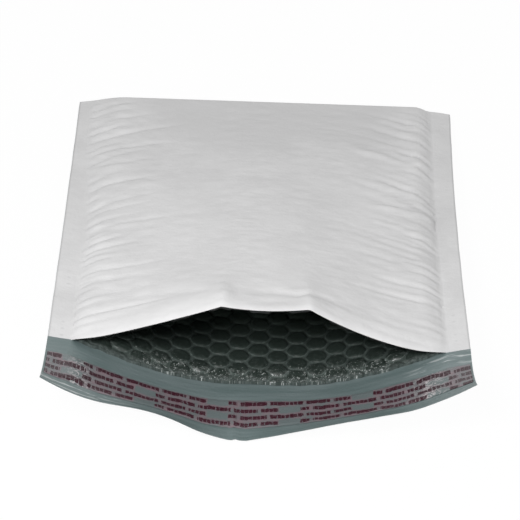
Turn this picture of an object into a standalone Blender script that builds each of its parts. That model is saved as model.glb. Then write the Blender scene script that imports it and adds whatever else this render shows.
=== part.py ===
"""A padded poly mailer: a film bag lined with bubble film, lying on its back panel with its mouth open.

Every layer is made flat, as it comes off its roll, and is then folded into the pouch.
Flat coordinates are x across the web and y along it; z is the height above the middle of the film,
towards the inside. The web starts at the front panel's lip, runs to the bottom fold, comes back
along the back panel and ends in the flap. In the folded mailer +X is across it, +Y runs from the
mouth to the bottom fold and +Z is up.
"""

import math

import bmesh
import bpy
from mathutils import Matrix

# Outline of the film, in metres
SHEET_WIDTH = 0.216
SEAL_WIDTH = 0.012
POUCH_DEPTH = 0.281
FLAP_LENGTH = 0.047

# Layers, and the slit left between the two walls of the lining where the mailer is shut
FILM = 0.0003
LINING = 0.0034
LINING_CLEARANCE = 0.0004
CAVITY_SLIT = 0.0006

# Lining: how far it stops short of the seals and of the front lip
LINING_SIDE_GAP = 0.004
LINING_LIP_GAP = 0.0025

# Bubbles on the lining's inner face, in hexagonal packing with neighbours along the web
BUBBLE_PITCH = 0.01167
BUBBLE_WEB = 0.0012
BUBBLE_SHOULDER = 0.0017
BUBBLE_RELIEF = 0.0011
FRONT_BUBBLE_ROWS = 3
BACK_BUBBLE_ROWS = 5

# How the mouth stands open, and how much of its packed thickness the lining keeps at the lip
MOUTH_NARROWING = 0.004
SEAM_LIFT = 0.0232
SEAL_TURN_UP = 0.0022
FLOOR_LEFT, FLOOR_RIGHT = 0.020, 0.014
SIDE_POWER_LEFT, SIDE_POWER_RIGHT = 1.55, 1.8
MOUTH_TIGHTNESS = 0.55
LIP_HEIGHT = 0.0450
LIP_SAG = 0.0014
LIP_CREASE_LEFT, LIP_CREASE_RIGHT = 0.020, 0.025
LIP_POWER_LEFT, LIP_POWER_RIGHT = 1.15, 1.7
LIP_SOFTNESS = 0.002
LIP_REACH = 0.060
ARCH_POWER = 1.5
CLOSING_POWER = 1.2

# Width over which the pouch swells from a seal to its full thickness, and its flat facets
PILLOW = 0.012
PILLOW_FACETS = 3

# How the flap lies: a valley on the floor, sides that rise to their edges, and a wave on the left one
FLAP_VALLEY = -0.009
FLAP_VALLEY_HALF = 0.004
FLAP_SIDE_LEFT, FLAP_SIDE_RIGHT = 0.0305, 0.0282
FLAP_CORNER_LEFT, FLAP_CORNER_RIGHT = 0.0024, 0.0098
FLAP_CORNER_REACH = 0.034
FLAP_WAVE = 0.0018
FLAP_WAVE_START = 0.020
FLAP_WAVE_LENGTH = 0.076
CORNER_POWER = 1.5
FLAP_CURL_POWER = 2.4

# Closure on the flap: a strip of adhesive under a release liner
STRIP_CLEARANCE = 0.0003
ADHESIVE_WIDTH = 0.020
ADHESIVE_THICKNESS = 0.0003
ADHESIVE_END_GAP = 0.004
LINER_WIDTH = 0.024
LINER_THICKNESS = 0.0003
LINER_FROM_MOUTH = 0.0125
LINER_END_GAP = 0.0012

# Facets
COLUMN_STEP = 0.0105
PANEL_ROWS = 14
ROW_CROWDING = 1.3
FLAP_ROWS = 6
FOLD_STEPS = 6
STRIP_ROWS = 3
MERGE = 0.00001

SHEET_HALF = SHEET_WIDTH / 2
SEAL_LINE = SHEET_HALF - SEAL_WIDTH
LINING_HALF = SEAL_LINE - LINING_SIDE_GAP
LINING_BASE = FILM / 2 + LINING_CLEARANCE
PACKED_HALF = LINING_BASE + LINING + CAVITY_SLIT / 2
FOLD_START = POUCH_DEPTH - PACKED_HALF
WEB_BACK_START = FOLD_START + math.pi * PACKED_HALF
WEB_MOUTH = WEB_BACK_START + FOLD_START
WEB_END = WEB_MOUTH + FLAP_LENGTH
MOUTH_Y = (FLAP_LENGTH - POUCH_DEPTH) / 2
FOLD_Y = MOUTH_Y + FOLD_START
BUBBLE_CORNER = BUBBLE_PITCH / math.sqrt(3)


def smooth(share):
    """Runs from 0 to 1 with no slope at either end."""
    share = min(1.0, max(0.0, share))
    return share * share * (3 - 2 * share)


def openness(depth):
    """How much of the mouth's opening is left at a depth: 1 at the mouth, 0 at the bottom fold."""
    return max(0.0, 1 - depth / FOLD_START)


def pillow(across):
    """Share of the packed thickness at this distance from the seals: a quarter wave in flat facets."""
    facets = PILLOW_FACETS * min(1.0, max(0.0, SEAL_LINE - abs(across)) / PILLOW)
    whole = min(PILLOW_FACETS - 1, math.floor(facets))
    start, end = (math.sin(math.pi / 2 * step / PILLOW_FACETS) for step in (whole, whole + 1))
    return start + (end - start) * (facets - whole)


def back_at_mouth(across):
    """Height of the back panel along the line of the mouth: flat on the floor, then rising."""
    if across < 0:
        floor, power = FLOOR_LEFT, SIDE_POWER_LEFT
    else:
        floor, power = FLOOR_RIGHT, SIDE_POWER_RIGHT
    return SEAM_LIFT * max(0.0, (abs(across) - floor) / (SEAL_LINE - floor)) ** power


def lip_at_mouth(across):
    """Height of the front panel's lip: two creases with a slack edge between them."""
    if -LIP_CREASE_LEFT <= across <= LIP_CREASE_RIGHT:
        share = (across + LIP_CREASE_LEFT) / (LIP_CREASE_LEFT + LIP_CREASE_RIGHT)
        return LIP_HEIGHT - LIP_SAG * math.sin(math.pi * share)
    if across < 0:
        crease, power = LIP_CREASE_LEFT, LIP_POWER_LEFT
    else:
        crease, power = LIP_CREASE_RIGHT, LIP_POWER_RIGHT
    share = max(0.0, (SEAL_LINE - abs(across)) / (SEAL_LINE - crease))
    return SEAM_LIFT + (LIP_HEIGHT - SEAM_LIFT) * share**power


def back_height(across, depth):
    """Height of the back panel, and of the welded bands outside the seals."""
    opened = openness(depth)
    if abs(across) > SEAL_LINE:
        seam = PACKED_HALF + (SEAM_LIFT - PACKED_HALF) * opened
        return seam + SEAL_TURN_UP * opened * (abs(across) - SEAL_LINE) / SEAL_WIDTH
    packed = PACKED_HALF * (1 - pillow(across))
    return back_at_mouth(across) * opened + packed * (1 - opened)


def front_height(across, depth):
    """Height of the front panel: the packed thickness, and the arch that the open mouth adds."""
    packed = 2 * PACKED_HALF * pillow(across)
    spare = lip_at_mouth(across) - back_at_mouth(across) - packed * MOUTH_TIGHTNESS
    lip = (spare + math.hypot(spare, LIP_SOFTNESS * pillow(across))) / 2
    across_share = min(1.0, abs(across) / SEAL_LINE)
    arch = (LIP_HEIGHT - 2 * PACKED_HALF) * (1 - across_share**2) ** ARCH_POWER
    from_lip = smooth(depth / LIP_REACH)
    opened = lip * (1 - from_lip) + arch * from_lip
    packed *= MOUTH_TIGHTNESS + (1 - MOUTH_TIGHTNESS) * from_lip
    return back_height(across, depth) + packed + opened * openness(depth) ** CLOSING_POWER


def flap_edge_height(across):
    """Height of the flap's free edge: a valley that touches the floor, and corners that curl up."""
    if across < FLAP_VALLEY:
        side, corner, width = FLAP_SIDE_LEFT, FLAP_CORNER_LEFT, SHEET_HALF + FLAP_VALLEY
    else:
        side, corner, width = FLAP_SIDE_RIGHT, FLAP_CORNER_RIGHT, SHEET_HALF - FLAP_VALLEY
    run = max(0.0, abs(across - FLAP_VALLEY) - FLAP_VALLEY_HALF)
    past = max(0.0, abs(across) - (SHEET_HALF - FLAP_CORNER_REACH))
    height = side * run / (width - FLAP_VALLEY_HALF) + corner * (past / FLAP_CORNER_REACH) ** CORNER_POWER
    if across < FLAP_VALLEY:
        rolling = math.sin(2 * math.pi * (run - FLAP_WAVE_START) / FLAP_WAVE_LENGTH)
        height += FLAP_WAVE * rolling * min(1.0, run / FLAP_WAVE_START)
    return height


def depth_of(along):
    """Depth inside the pouch for a place along the web."""
    if along >= WEB_BACK_START:
        return max(0.0, WEB_MOUTH - along)
    return min(along, FOLD_START)


def room_inside(across, depth):
    """Height above the film at which a layer still clears the one on the other panel."""
    return (front_height(across, depth) - back_height(across, depth) - CAVITY_SLIT) / 2


def on_flap(across, share, inside):
    """A point of the flap. What the flap climbs, it loses in reach."""
    start, end = back_height(across, 0.0), flap_edge_height(across)
    reach = math.sqrt(max(0.0, 1 - ((end - start) / FLAP_LENGTH) ** 2))
    height = start + (end - start) * share**FLAP_CURL_POWER
    return MOUTH_Y - FLAP_LENGTH * share * reach, height + inside


def on_fold(across, turn, inside):
    """A point of the bottom fold, which is flat at the seals and half round between them."""
    half = PACKED_HALF * pillow(across)
    height = PACKED_HALF + max(0.0, half - inside) * math.cos(turn)
    return FOLD_Y + (PACKED_HALF - inside) * math.sin(turn), height


def on_panel(across, depth, inside, panel_height, up):
    """A point of the front or the back panel, whose length stays the same as it slopes."""
    climb = panel_height(across, 0.0) - panel_height(across, FOLD_START)
    reach = math.sqrt(1 - (climb / FOLD_START) ** 2)
    return FOLD_Y - (FOLD_START - depth) * reach, panel_height(across, depth) + up * inside


def folded(across, along, inside):
    """Where a point of the flat web comes to lie in the folded mailer."""
    depth = depth_of(along)
    if along > WEB_MOUTH:
        y, z = on_flap(across, (along - WEB_MOUTH) / FLAP_LENGTH, inside)
    elif along >= WEB_BACK_START:
        y, z = on_panel(across, depth, inside, back_height, 1)
    elif along > FOLD_START:
        turn = math.pi * (along - FOLD_START) / (WEB_BACK_START - FOLD_START)
        y, z = on_fold(across, turn, inside)
    else:
        y, z = on_panel(across, depth, inside, front_height, -1)
    narrowed = 1 - MOUTH_NARROWING / SHEET_HALF * openness(depth)
    return across * narrowed, y, z + FILM / 2


def material(name, colour, roughness, alpha=1.0):
    """A plain finish with the layer's colour and gloss."""
    made = bpy.data.materials.new(name)
    made.use_nodes = True
    shader = made.node_tree.nodes["Principled BSDF"]
    shader.inputs["Base Color"].default_value = (*colour, 1.0)
    shader.inputs["Roughness"].default_value = roughness
    shader.inputs["Metallic"].default_value = 0.0
    shader.inputs["Alpha"].default_value = alpha
    return made


def add_object(name, bm, finish):
    """Makes a named object of a mesh that has been folded into place."""
    bmesh.ops.recalc_face_normals(bm, faces=bm.faces)
    mesh = bpy.data.meshes.new(name)
    bm.to_mesh(mesh)
    bm.free()
    mesh.materials.append(finish)
    mesh.shade_smooth()
    obj = bpy.data.objects.new(name, mesh)
    collection.objects.link(obj)
    return obj


def spaced(start, end, count):
    return [start + (end - start) * step / count for step in range(count + 1)]


def columns_through(lines):
    """Columns at the given lines across the web, and between them where they lie far apart."""
    lines = sorted(set(lines))
    columns = lines[:1]
    for start, end in zip(lines, lines[1:]):
        columns += spaced(start, end, math.ceil((end - start) / COLUMN_STEP))[1:]
    return columns


def film_columns(half):
    """Columns of the film out to a half width, on every line where its cross-section changes."""
    edges = [SEAL_LINE - PILLOW * step / PILLOW_FACETS for step in range(PILLOW_FACETS + 1)]
    lip = [-LIP_CREASE_LEFT, LIP_CREASE_RIGHT]
    floor = [-FLOOR_LEFT, FLAP_VALLEY - FLAP_VALLEY_HALF, FLAP_VALLEY + FLAP_VALLEY_HALF, FLOOR_RIGHT]
    lines = [half, -half, *lip, *floor, *edges, *(-edge for edge in edges)]
    return columns_through([line for line in lines if abs(line) <= half])


def panel_depths():
    """Depths of the rows of a panel, closer together at the mouth."""
    return [FOLD_START * (step / PANEL_ROWS) ** ROW_CROWDING for step in range(PANEL_ROWS + 1)]


def fold_rows():
    return spaced(FOLD_START, WEB_BACK_START, FOLD_STEPS)


def back_rows():
    return [WEB_MOUTH - depth for depth in reversed(panel_depths())]


def flap_rows():
    return spaced(WEB_MOUTH, WEB_END, FLAP_ROWS)


def add_grid(bm, columns, rows):
    """Adds a flat sheet with a vertex wherever a column crosses a row."""
    made = bmesh.ops.create_grid(bm, x_segments=len(columns) - 1, y_segments=len(rows) - 1, size=0.5)
    for vert in made["verts"]:
        column = round((vert.co.x + 0.5) * (len(columns) - 1))
        row = round((vert.co.y + 0.5) * (len(rows) - 1))
        vert.co = (columns[column], rows[row], 0.0)


def thicken(bm, low, thickness):
    """Turns a flat sheet into a slab that starts at a height above the film; returns its top."""
    for vert in bm.verts:
        vert.co.z = low
    made = bmesh.ops.extrude_face_region(bm, geom=bm.faces[:])["geom"]
    for vert in (item for item in made if isinstance(item, bmesh.types.BMVert)):
        vert.co.z = low + thickness
    bmesh.ops.recalc_face_normals(bm, faces=bm.faces)
    return [item for item in made if isinstance(item, bmesh.types.BMFace)]


def build_film(finish):
    """The film bag: one web from the lip round to the flap, welded to itself along both sides."""
    bm = bmesh.new()
    web = panel_depths() + fold_rows()[1:-1] + back_rows() + flap_rows()[1:]
    add_grid(bm, film_columns(SEAL_LINE), web)
    welded = fold_rows()[FOLD_STEPS // 2:-1] + back_rows() + flap_rows()[1:]
    add_grid(bm, spaced(-SHEET_HALF, -SEAL_LINE, 2), welded)
    add_grid(bm, spaced(SEAL_LINE, SHEET_HALF, 2), welded)
    for vert in bm.verts:
        vert.co = folded(*vert.co)
    bmesh.ops.remove_doubles(bm, verts=bm.verts, dist=MERGE)
    obj = add_object("outer_film", bm, finish)
    wall = obj.modifiers.new("film_thickness", "SOLIDIFY")
    wall.solidify_mode = "NON_MANIFOLD"
    wall.nonmanifold_thickness_mode = "CONSTRAINTS"
    wall.nonmanifold_merge_threshold = MERGE
    wall.thickness = FILM
    wall.offset = 0.0


def add_bubble_cells(bm, start, count):
    """Adds a flat field of hexagonal cells, cut straight at the lining's sides and at both ends."""
    columns = math.ceil((LINING_HALF + BUBBLE_CORNER) / (1.5 * BUBBLE_CORNER))
    for column in range(-columns, columns + 1):
        shift = 0.5 * (column % 2)
        for row in range(count + 1 - column % 2):
            centre = (1.5 * BUBBLE_CORNER * column, start + BUBBLE_PITCH * (row + shift), 0.0)
            placed = Matrix.Translation(centre) @ Matrix.Rotation(math.pi / 2, 4, "Z")
            bmesh.ops.create_circle(bm, cap_ends=True, segments=6, radius=BUBBLE_CORNER, matrix=placed)
    bmesh.ops.remove_doubles(bm, verts=bm.verts, dist=MERGE)
    end = start + BUBBLE_PITCH * count
    sides = [((LINING_HALF, 0, 0), (1, 0, 0)), ((-LINING_HALF, 0, 0), (-1, 0, 0))]
    for point, outward in [*sides, ((0, start, 0), (0, -1, 0)), ((0, end, 0), (0, 1, 0))]:
        everything = bm.verts[:] + bm.edges[:] + bm.faces[:]
        bmesh.ops.bisect_plane(
            bm, geom=everything, dist=MERGE, plane_co=point, plane_no=outward, clear_outer=True
        )
    return end


def lining_sheet():
    """The lining laid flat: cells near the front lip, plain film round the fold, cells at the mouth."""
    bm = bmesh.new()
    front_end = add_bubble_cells(bm, LINING_LIP_GAP, FRONT_BUBBLE_ROWS)
    columns = sorted(vert.co.x for vert in bm.verts if abs(vert.co.y - front_end) < MERGE)
    back_start = WEB_MOUTH - BUBBLE_PITCH * BACK_BUBBLE_ROWS
    stations = panel_depths() + fold_rows()[1:-1] + back_rows()
    between = [y for y in stations if front_end + BUBBLE_WEB < y < back_start - BUBBLE_WEB]
    back = bmesh.new()
    add_bubble_cells(back, back_start, BACK_BUBBLE_ROWS)
    flat = bpy.data.meshes.new("lining_at_the_mouth")
    back.to_mesh(flat)
    back.free()
    bm.from_mesh(flat)
    bpy.data.meshes.remove(flat)
    add_grid(bm, columns, [front_end, *between, back_start])
    bmesh.ops.remove_doubles(bm, verts=bm.verts, dist=MERGE)
    return bm


def build_lining(finish):
    """The bubble lining: one folded web whose bubbles stand towards the inside near the mouth."""
    bm = lining_sheet()
    inner = thicken(bm, LINING_BASE, LINING - BUBBLE_RELIEF)
    whole_cell = 1.5 * math.sqrt(3) * BUBBLE_CORNER**2
    cells = [face for face in inner if len(face.verts) == 6 and face.calc_area() > 0.99 * whole_cell]
    bmesh.ops.inset_individual(bm, faces=cells, thickness=BUBBLE_WEB / 2)
    bmesh.ops.inset_individual(bm, faces=cells, thickness=BUBBLE_SHOULDER, depth=BUBBLE_RELIEF)
    for vert in bm.verts:
        across, along, inside = vert.co
        if inside > LINING_BASE + MERGE:
            inside = min(inside, room_inside(across, depth_of(along)))
        vert.co = folded(across, along, inside)
    add_object("bubble_lining", bm, finish)


def build_strip(name, from_mouth, width, end_gap, low, thickness, finish):
    """A thin strip across the flap, on the same columns as the film under it."""
    bm = bmesh.new()
    start = WEB_MOUTH + from_mouth
    add_grid(bm, film_columns(SHEET_HALF - end_gap), spaced(start, start + width, STRIP_ROWS))
    thicken(bm, low, thickness)
    for vert in bm.verts:
        vert.co = folded(*vert.co)
    add_object(name, bm, finish)


def build_closure(adhesive_finish, liner_finish):
    """The adhesive strip, and the release liner centred over it."""
    adhesive_low = FILM / 2 + STRIP_CLEARANCE
    liner_low = adhesive_low + ADHESIVE_THICKNESS + STRIP_CLEARANCE
    inset = (LINER_WIDTH - ADHESIVE_WIDTH) / 2
    build_strip(
        "adhesive_strip", LINER_FROM_MOUTH + inset, ADHESIVE_WIDTH, ADHESIVE_END_GAP,
        adhesive_low, ADHESIVE_THICKNESS, adhesive_finish,
    )
    build_strip(
        "release_liner", LINER_FROM_MOUTH, LINER_WIDTH, LINER_END_GAP,
        liner_low, LINER_THICKNESS, liner_finish,
    )


for stale in list(bpy.data.objects):
    bpy.data.objects.remove(stale, do_unlink=True)
collection = bpy.data.collections.new("poly_bubble_mailer")
bpy.context.scene.collection.children.link(collection)

build_film(material("white_film", (0.80, 0.80, 0.80), 0.35))
build_lining(material("bubble_film", (0.10, 0.11, 0.11), 0.25))
build_closure(
    material("hot_melt_adhesive", (0.45, 0.44, 0.40), 0.30, alpha=0.6),
    material("silicone_liner", (0.40, 0.32, 0.33), 0.25),
)
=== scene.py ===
"""A padded poly mailer lying open on its back panel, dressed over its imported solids.

The film, the bubble lining, the adhesive and the release liner are each made flat, as they come off
their rolls, get their wrinkles there, and are then folded into the pouch by the same rules as the
solids. Flat coordinates are across the web, along it, and inside: the height above the middle of the
film, towards the inside of the pouch. Depth is the distance down a panel from the mouth. Lengths are
in metres where nothing else is said, and the shares and levels have no unit.
"""

import logging
import math
from dataclasses import dataclass
from enum import Enum
from typing import Mapping, Sequence, Union

import bmesh
import bpy
import numpy as np
from mathutils import Matrix, Vector


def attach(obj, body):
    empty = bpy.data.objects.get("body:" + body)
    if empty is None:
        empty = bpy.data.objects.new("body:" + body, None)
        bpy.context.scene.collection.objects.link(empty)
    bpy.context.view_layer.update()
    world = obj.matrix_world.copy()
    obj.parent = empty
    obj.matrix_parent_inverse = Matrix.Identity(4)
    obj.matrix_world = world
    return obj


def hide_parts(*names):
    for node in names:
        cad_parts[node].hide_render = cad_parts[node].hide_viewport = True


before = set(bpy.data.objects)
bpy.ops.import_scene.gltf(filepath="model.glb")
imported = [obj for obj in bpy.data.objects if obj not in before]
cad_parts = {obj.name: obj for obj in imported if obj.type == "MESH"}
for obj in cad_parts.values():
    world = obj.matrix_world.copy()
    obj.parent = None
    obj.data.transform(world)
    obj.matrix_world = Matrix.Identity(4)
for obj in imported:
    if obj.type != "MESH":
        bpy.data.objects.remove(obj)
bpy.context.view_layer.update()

log = logging.getLogger("mailer")

Array = np.ndarray
Colour = tuple[float, float, float]

WHITE: Colour = (1.0, 1.0, 1.0)
BLACK: Colour = (0.0, 0.0, 0.0)

# Millimetres in a metre
MILLIMETRES = 1000.0
# How far apart the bubbles of the lining stand
BUBBLE_PITCH = 0.01167
# Edges that turn by more than this are shaded sharp
SHARP_ANGLE = math.radians(55)
# The value that a material's noise varies about
NOISE_MIDDLE = 0.5


def smooth(share: Array) -> Array:
    """Runs from 0 to 1 with no slope at either end."""
    share = np.clip(share, 0.0, 1.0)
    return share * share * (3.0 - 2.0 * share)


def quarter_wave(share: Array) -> Array:
    """Runs from 0 to 1, steep at first and level at its end."""
    return np.sin(np.pi / 2 * np.clip(share, 0.0, 1.0))


def bell(distance: Array, width: float) -> Array:
    """A rounded hump: 1 in its middle, and nearly gone two widths away."""
    return np.exp(-((distance / width) ** 2))


@dataclass(frozen=True)
class Span:
    """A stretch of values over which something changes. It may run downwards."""

    start: float
    end: float

    @property
    def length(self) -> float:
        """How long the stretch is."""
        return self.end - self.start

    def rise(self, value: Array) -> Array:
        """Rises from 0 to 1 as a value passes along the stretch."""
        return smooth((value - self.start) / self.length)

    def fall(self, value: Array) -> Array:
        """Falls from 1 to 0 as a value passes along the stretch."""
        return 1.0 - self.rise(value)


@dataclass(frozen=True)
class Ruffle:
    """Smooth seeded unevenness over a plane, in soft cells, up to about its height both ways."""

    seed: int
    cell: tuple[float, float]
    moved: tuple[float, float] = (0.0, 0.0)
    height: float = 1.0

    # The pattern comes again after this many cells
    CELLS = 96
    # Brings the plain pattern, which stays within about 0.7, up to about 1
    FULL_SCALE = 1.4

    def at(self, across: Array, along: Array) -> Array:
        """Reads the unevenness.

        Args:
            across: Places across the plane.
            along: Places along it.

        Returns:
            One height for each place.
        """
        x, y = across / self.cell[0] + self.moved[0], along / self.cell[1] + self.moved[1]
        turns = np.random.default_rng(self.seed).uniform(0.0, 2.0 * np.pi, (self.CELLS, self.CELLS))
        column, row = np.floor(x).astype(int), np.floor(y).astype(int)
        right, up = x - column, y - row
        corners = []
        for step_x in (0, 1):
            for step_y in (0, 1):
                turn = turns[(column + step_x) % self.CELLS, (row + step_y) % self.CELLS]
                corners.append(np.cos(turn) * (right - step_x) + np.sin(turn) * (up - step_y))
        blend_x, blend_y = smooth(right), smooth(up)
        left = corners[0] + (corners[1] - corners[0]) * blend_y
        far = corners[2] + (corners[3] - corners[2]) * blend_y
        return self.height * self.FULL_SCALE * (left + (far - left) * blend_x)


@dataclass(frozen=True)
class Side:
    """What differs between the left and the right half of the open mailer."""

    floor: float
    rise_power: float
    lip_crease: float
    lip_power: float
    flap_side: float
    flap_corner: float
    flap_wave: float
    pull: float


@dataclass(frozen=True)
class MailerForm:
    """How a point of the flat web comes to lie in the open mailer."""

    sheet_width: float = 0.216
    seal_width: float = 0.012
    pouch_depth: float = 0.281
    flap_length: float = 0.047
    film: float = 0.0003
    lining: float = 0.0034
    lining_clearance: float = 0.0004
    cavity_slit: float = 0.0006
    lining_side_gap: float = 0.004
    lining_lip_gap: float = 0.0025
    mouth_narrowing: float = 0.004
    seam_lift: float = 0.0232
    seal_turn_up: float = 0.0022
    ripple_height: float = 0.0004
    ripple_rate: float = 95.0
    ripple_sway: float = 2.0
    ripple_sway_rates: tuple[float, float] = (20.0, 41.0)
    mouth_tightness: float = 0.55
    lip_height: float = 0.0455
    lip_sag: float = 0.0014
    lip_softness: float = 0.002
    lip_reach: float = 0.060
    lip_roll: float = 0.0020
    lip_roll_start: float = 0.012
    lip_roll_fade: Span = Span(0.012, 0.057)
    lip_roll_lost: float = 0.65
    lip_crease_softness: float = 0.008
    lip_curl: float = 0.0009
    lip_curl_reach: float = 0.0035
    arch_power: float = 1.5
    closing_power: float = 1.2
    pillow_width: float = 0.012
    front_pillow_width: float = 0.019
    right_steepening: float = 0.010
    right_steepening_depth: Span = Span(0.10, 0.24)
    seal_drift: float = 0.0055
    seal_drift_depth: Span = Span(0.11, 0.26)
    flap_valley: float = -0.009
    flap_valley_half: float = 0.004
    flap_corner_reach: float = 0.034
    flap_corner_power: float = 1.5
    flap_curl_power: float = 2.4
    flap_wave_start: float = 0.020
    flap_wave_length: float = 0.076
    flap_waves: tuple[Ruffle, ...] = (
        Ruffle(11, (0.034, 1 / 1.3), (7.3, 2.1), 0.00045),
        Ruffle(11, (0.013, 1 / 3.1), (31.7, 5.5), 0.00015),
    )
    flap_waves_start: float = 1 / 3
    flap_crease: float = -0.0145
    flap_crease_slant: float = 0.004
    flap_crease_width: float = 0.0016
    flap_crease_height: float = 0.0007
    flap_crease_start: Span = Span(0.2, 0.7)
    corner_pull: float = 0.0030
    corner_pull_margin: float = 0.004
    corner_pull_reach: float = 0.030
    left: Side = Side(
        floor=0.020, rise_power=1.55, lip_crease=0.020, lip_power=1.15,
        flap_side=0.0305, flap_corner=0.0024, flap_wave=0.0018, pull=0.0002,
    )
    right: Side = Side(
        floor=0.014, rise_power=1.8, lip_crease=0.025, lip_power=1.7,
        flap_side=0.0282, flap_corner=0.0082, flap_wave=0.0, pull=0.0014,
    )

    @property
    def sheet_half(self) -> float:
        """Half the width of the web."""
        return self.sheet_width / 2

    @property
    def seal_line(self) -> float:
        """Distance from the middle to the inner edge of a seal."""
        return self.sheet_half - self.seal_width

    @property
    def lining_half(self) -> float:
        """Half the width of the lining."""
        return self.seal_line - self.lining_side_gap

    @property
    def lining_base(self) -> float:
        """Height of the lining's outer face above the film."""
        return self.film / 2 + self.lining_clearance

    @property
    def packed_half(self) -> float:
        """Half the thickness of the shut end."""
        return self.lining_base + self.lining + self.cavity_slit / 2

    @property
    def fold_start(self) -> float:
        """Place along the web where the bottom fold begins."""
        return self.pouch_depth - self.packed_half

    @property
    def back_start(self) -> float:
        """Place along the web where the bottom fold ends."""
        return self.fold_start + math.pi * self.packed_half

    @property
    def mouth(self) -> float:
        """Place along the web where the back panel ends and the flap begins."""
        return self.back_start + self.fold_start

    @property
    def web_end(self) -> float:
        """Place along the web of the flap's free edge."""
        return self.mouth + self.flap_length

    @property
    def mouth_y(self) -> float:
        """Where the line of the mouth lies."""
        return (self.flap_length - self.pouch_depth) / 2

    @property
    def fold_y(self) -> float:
        """Where the bottom fold begins."""
        return self.mouth_y + self.fold_start

    def by_side(self, across: Array, name: str) -> Array:
        """The left or the right half's value of one measure, point by point."""
        return np.where(across < 0, getattr(self.left, name), getattr(self.right, name))

    def openness(self, depth: Array) -> Array:
        """How much of the mouth's opening is left at a depth."""
        return np.maximum(0.0, 1.0 - depth / self.fold_start)

    def pillow(self, across: Array) -> Array:
        """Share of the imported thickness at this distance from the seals."""
        return quarter_wave((self.seal_line - np.abs(across)) / self.pillow_width)

    def drift(self, across: Array, depth: Array) -> Array:
        """How far the left seal of the front panel has drifted outwards, towards the shut end."""
        return np.where(across < 0, self.seal_drift * self.seal_drift_depth.rise(depth), 0.0)

    def front_pillow(self, across: Array, depth: Array) -> Array:
        """The front panel's share, softer at the mouth and fuller at the shut end's right.

        Args:
            across: Places across the panel.
            depth: Their depths.

        Returns:
            Shares from 0 to 1.
        """
        drift = self.drift(across, depth)
        steeper = np.where(across < 0, 0.0, self.right_steepening * self.right_steepening_depth.rise(depth))
        width = self.front_pillow_width + drift / 2 - steeper
        return quarter_wave((self.seal_line + drift - np.abs(across)) / width)

    def back_at_mouth(self, across: Array) -> Array:
        """Height of the back panel along the line of the mouth.

        Args:
            across: Places across the panel.

        Returns:
            Heights.
        """
        floor, power = self.by_side(across, "floor"), self.by_side(across, "rise_power")
        past = np.maximum(0.0, (np.abs(across) - floor) / (self.seal_line - floor))
        return self.seam_lift * past**power

    def lip_at_mouth(self, across: Array) -> Array:
        """Height of the front panel's lip: two creases with a slack edge between them.

        Args:
            across: Places across the lip.

        Returns:
            Heights.
        """
        crease, power = self.by_side(across, "lip_crease"), self.by_side(across, "lip_power")
        width = self.left.lip_crease + self.right.lip_crease
        slack = np.sin(np.pi * np.clip((across + self.left.lip_crease) / width, 0.0, 1.0))
        share = np.clip((self.seal_line - np.abs(across)) / (self.seal_line - crease), 0.0, 1.0)
        rise = (self.lip_height - self.seam_lift) * share**power
        return self.seam_lift + rise - self.lip_sag * slack

    def back_height(self, across: Array, depth: Array) -> Array:
        """Height of the back panel, and of the welded bands outside the seals.

        Args:
            across: Places across the panel.
            depth: Their depths.

        Returns:
            Heights.
        """
        opened = self.openness(depth)
        seam = self.packed_half + (self.seam_lift - self.packed_half) * opened
        outside = np.clip((np.abs(across) - self.seal_line) / self.seal_width, 0.0, 1.0)
        rate_across, rate_down = self.ripple_sway_rates
        sway = self.ripple_sway * np.sin(depth * rate_down + across * rate_across)
        ripple = self.ripple_height * np.sin(depth * self.ripple_rate + sway)
        band = seam + (self.seal_turn_up * opened + ripple) * outside
        packed = self.packed_half * (1.0 - self.pillow(across))
        panel = self.back_at_mouth(across) * opened + packed * (1.0 - opened)
        return np.where(np.abs(across) > self.seal_line, band, panel)

    def lip_relief(self, across: Array, depth: Array) -> Array:
        """The soft roll of the lip, weaker between its creases, less the curl of its very edge.

        Args:
            across: Places across the lip.
            depth: Their depths.

        Returns:
            Heights above the plain panel.
        """
        roll = quarter_wave(depth / self.lip_roll_start) * self.lip_roll_fade.fall(depth)
        from_left, from_right = across + self.left.lip_crease, self.right.lip_crease - across
        between = smooth(from_left / self.lip_crease_softness) * smooth(from_right / self.lip_crease_softness)
        curl = self.lip_curl * np.clip(1.0 - depth / self.lip_curl_reach, 0.0, 1.0) ** 2
        return roll * self.lip_roll * (1.0 - self.lip_roll_lost * between) - curl

    def front_height(self, across: Array, depth: Array) -> Array:
        """Height of the front panel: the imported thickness, and the arch of the open mouth.

        Args:
            across: Places across the panel.
            depth: Their depths.

        Returns:
            Heights.
        """
        pillow = self.front_pillow(across, depth)
        packed = self.packed_half * (self.pillow(across) + pillow)
        spare = self.lip_at_mouth(across) - self.back_at_mouth(across) - packed * self.mouth_tightness
        lip = (spare + np.hypot(spare, self.lip_softness * pillow)) / 2
        inward = np.clip(1.0 - (across / self.seal_line) ** 2, 0.0, 1.0)
        arch = (self.lip_height - 2 * self.packed_half) * inward**self.arch_power
        from_lip = smooth(depth / self.lip_reach)
        opened = (lip * (1.0 - from_lip) + arch * from_lip) * self.openness(depth) ** self.closing_power
        packed = packed * (self.mouth_tightness + (1.0 - self.mouth_tightness) * from_lip)
        relief = self.lip_relief(across, depth) * pillow
        return self.back_height(across, depth) + packed + opened + relief

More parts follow.
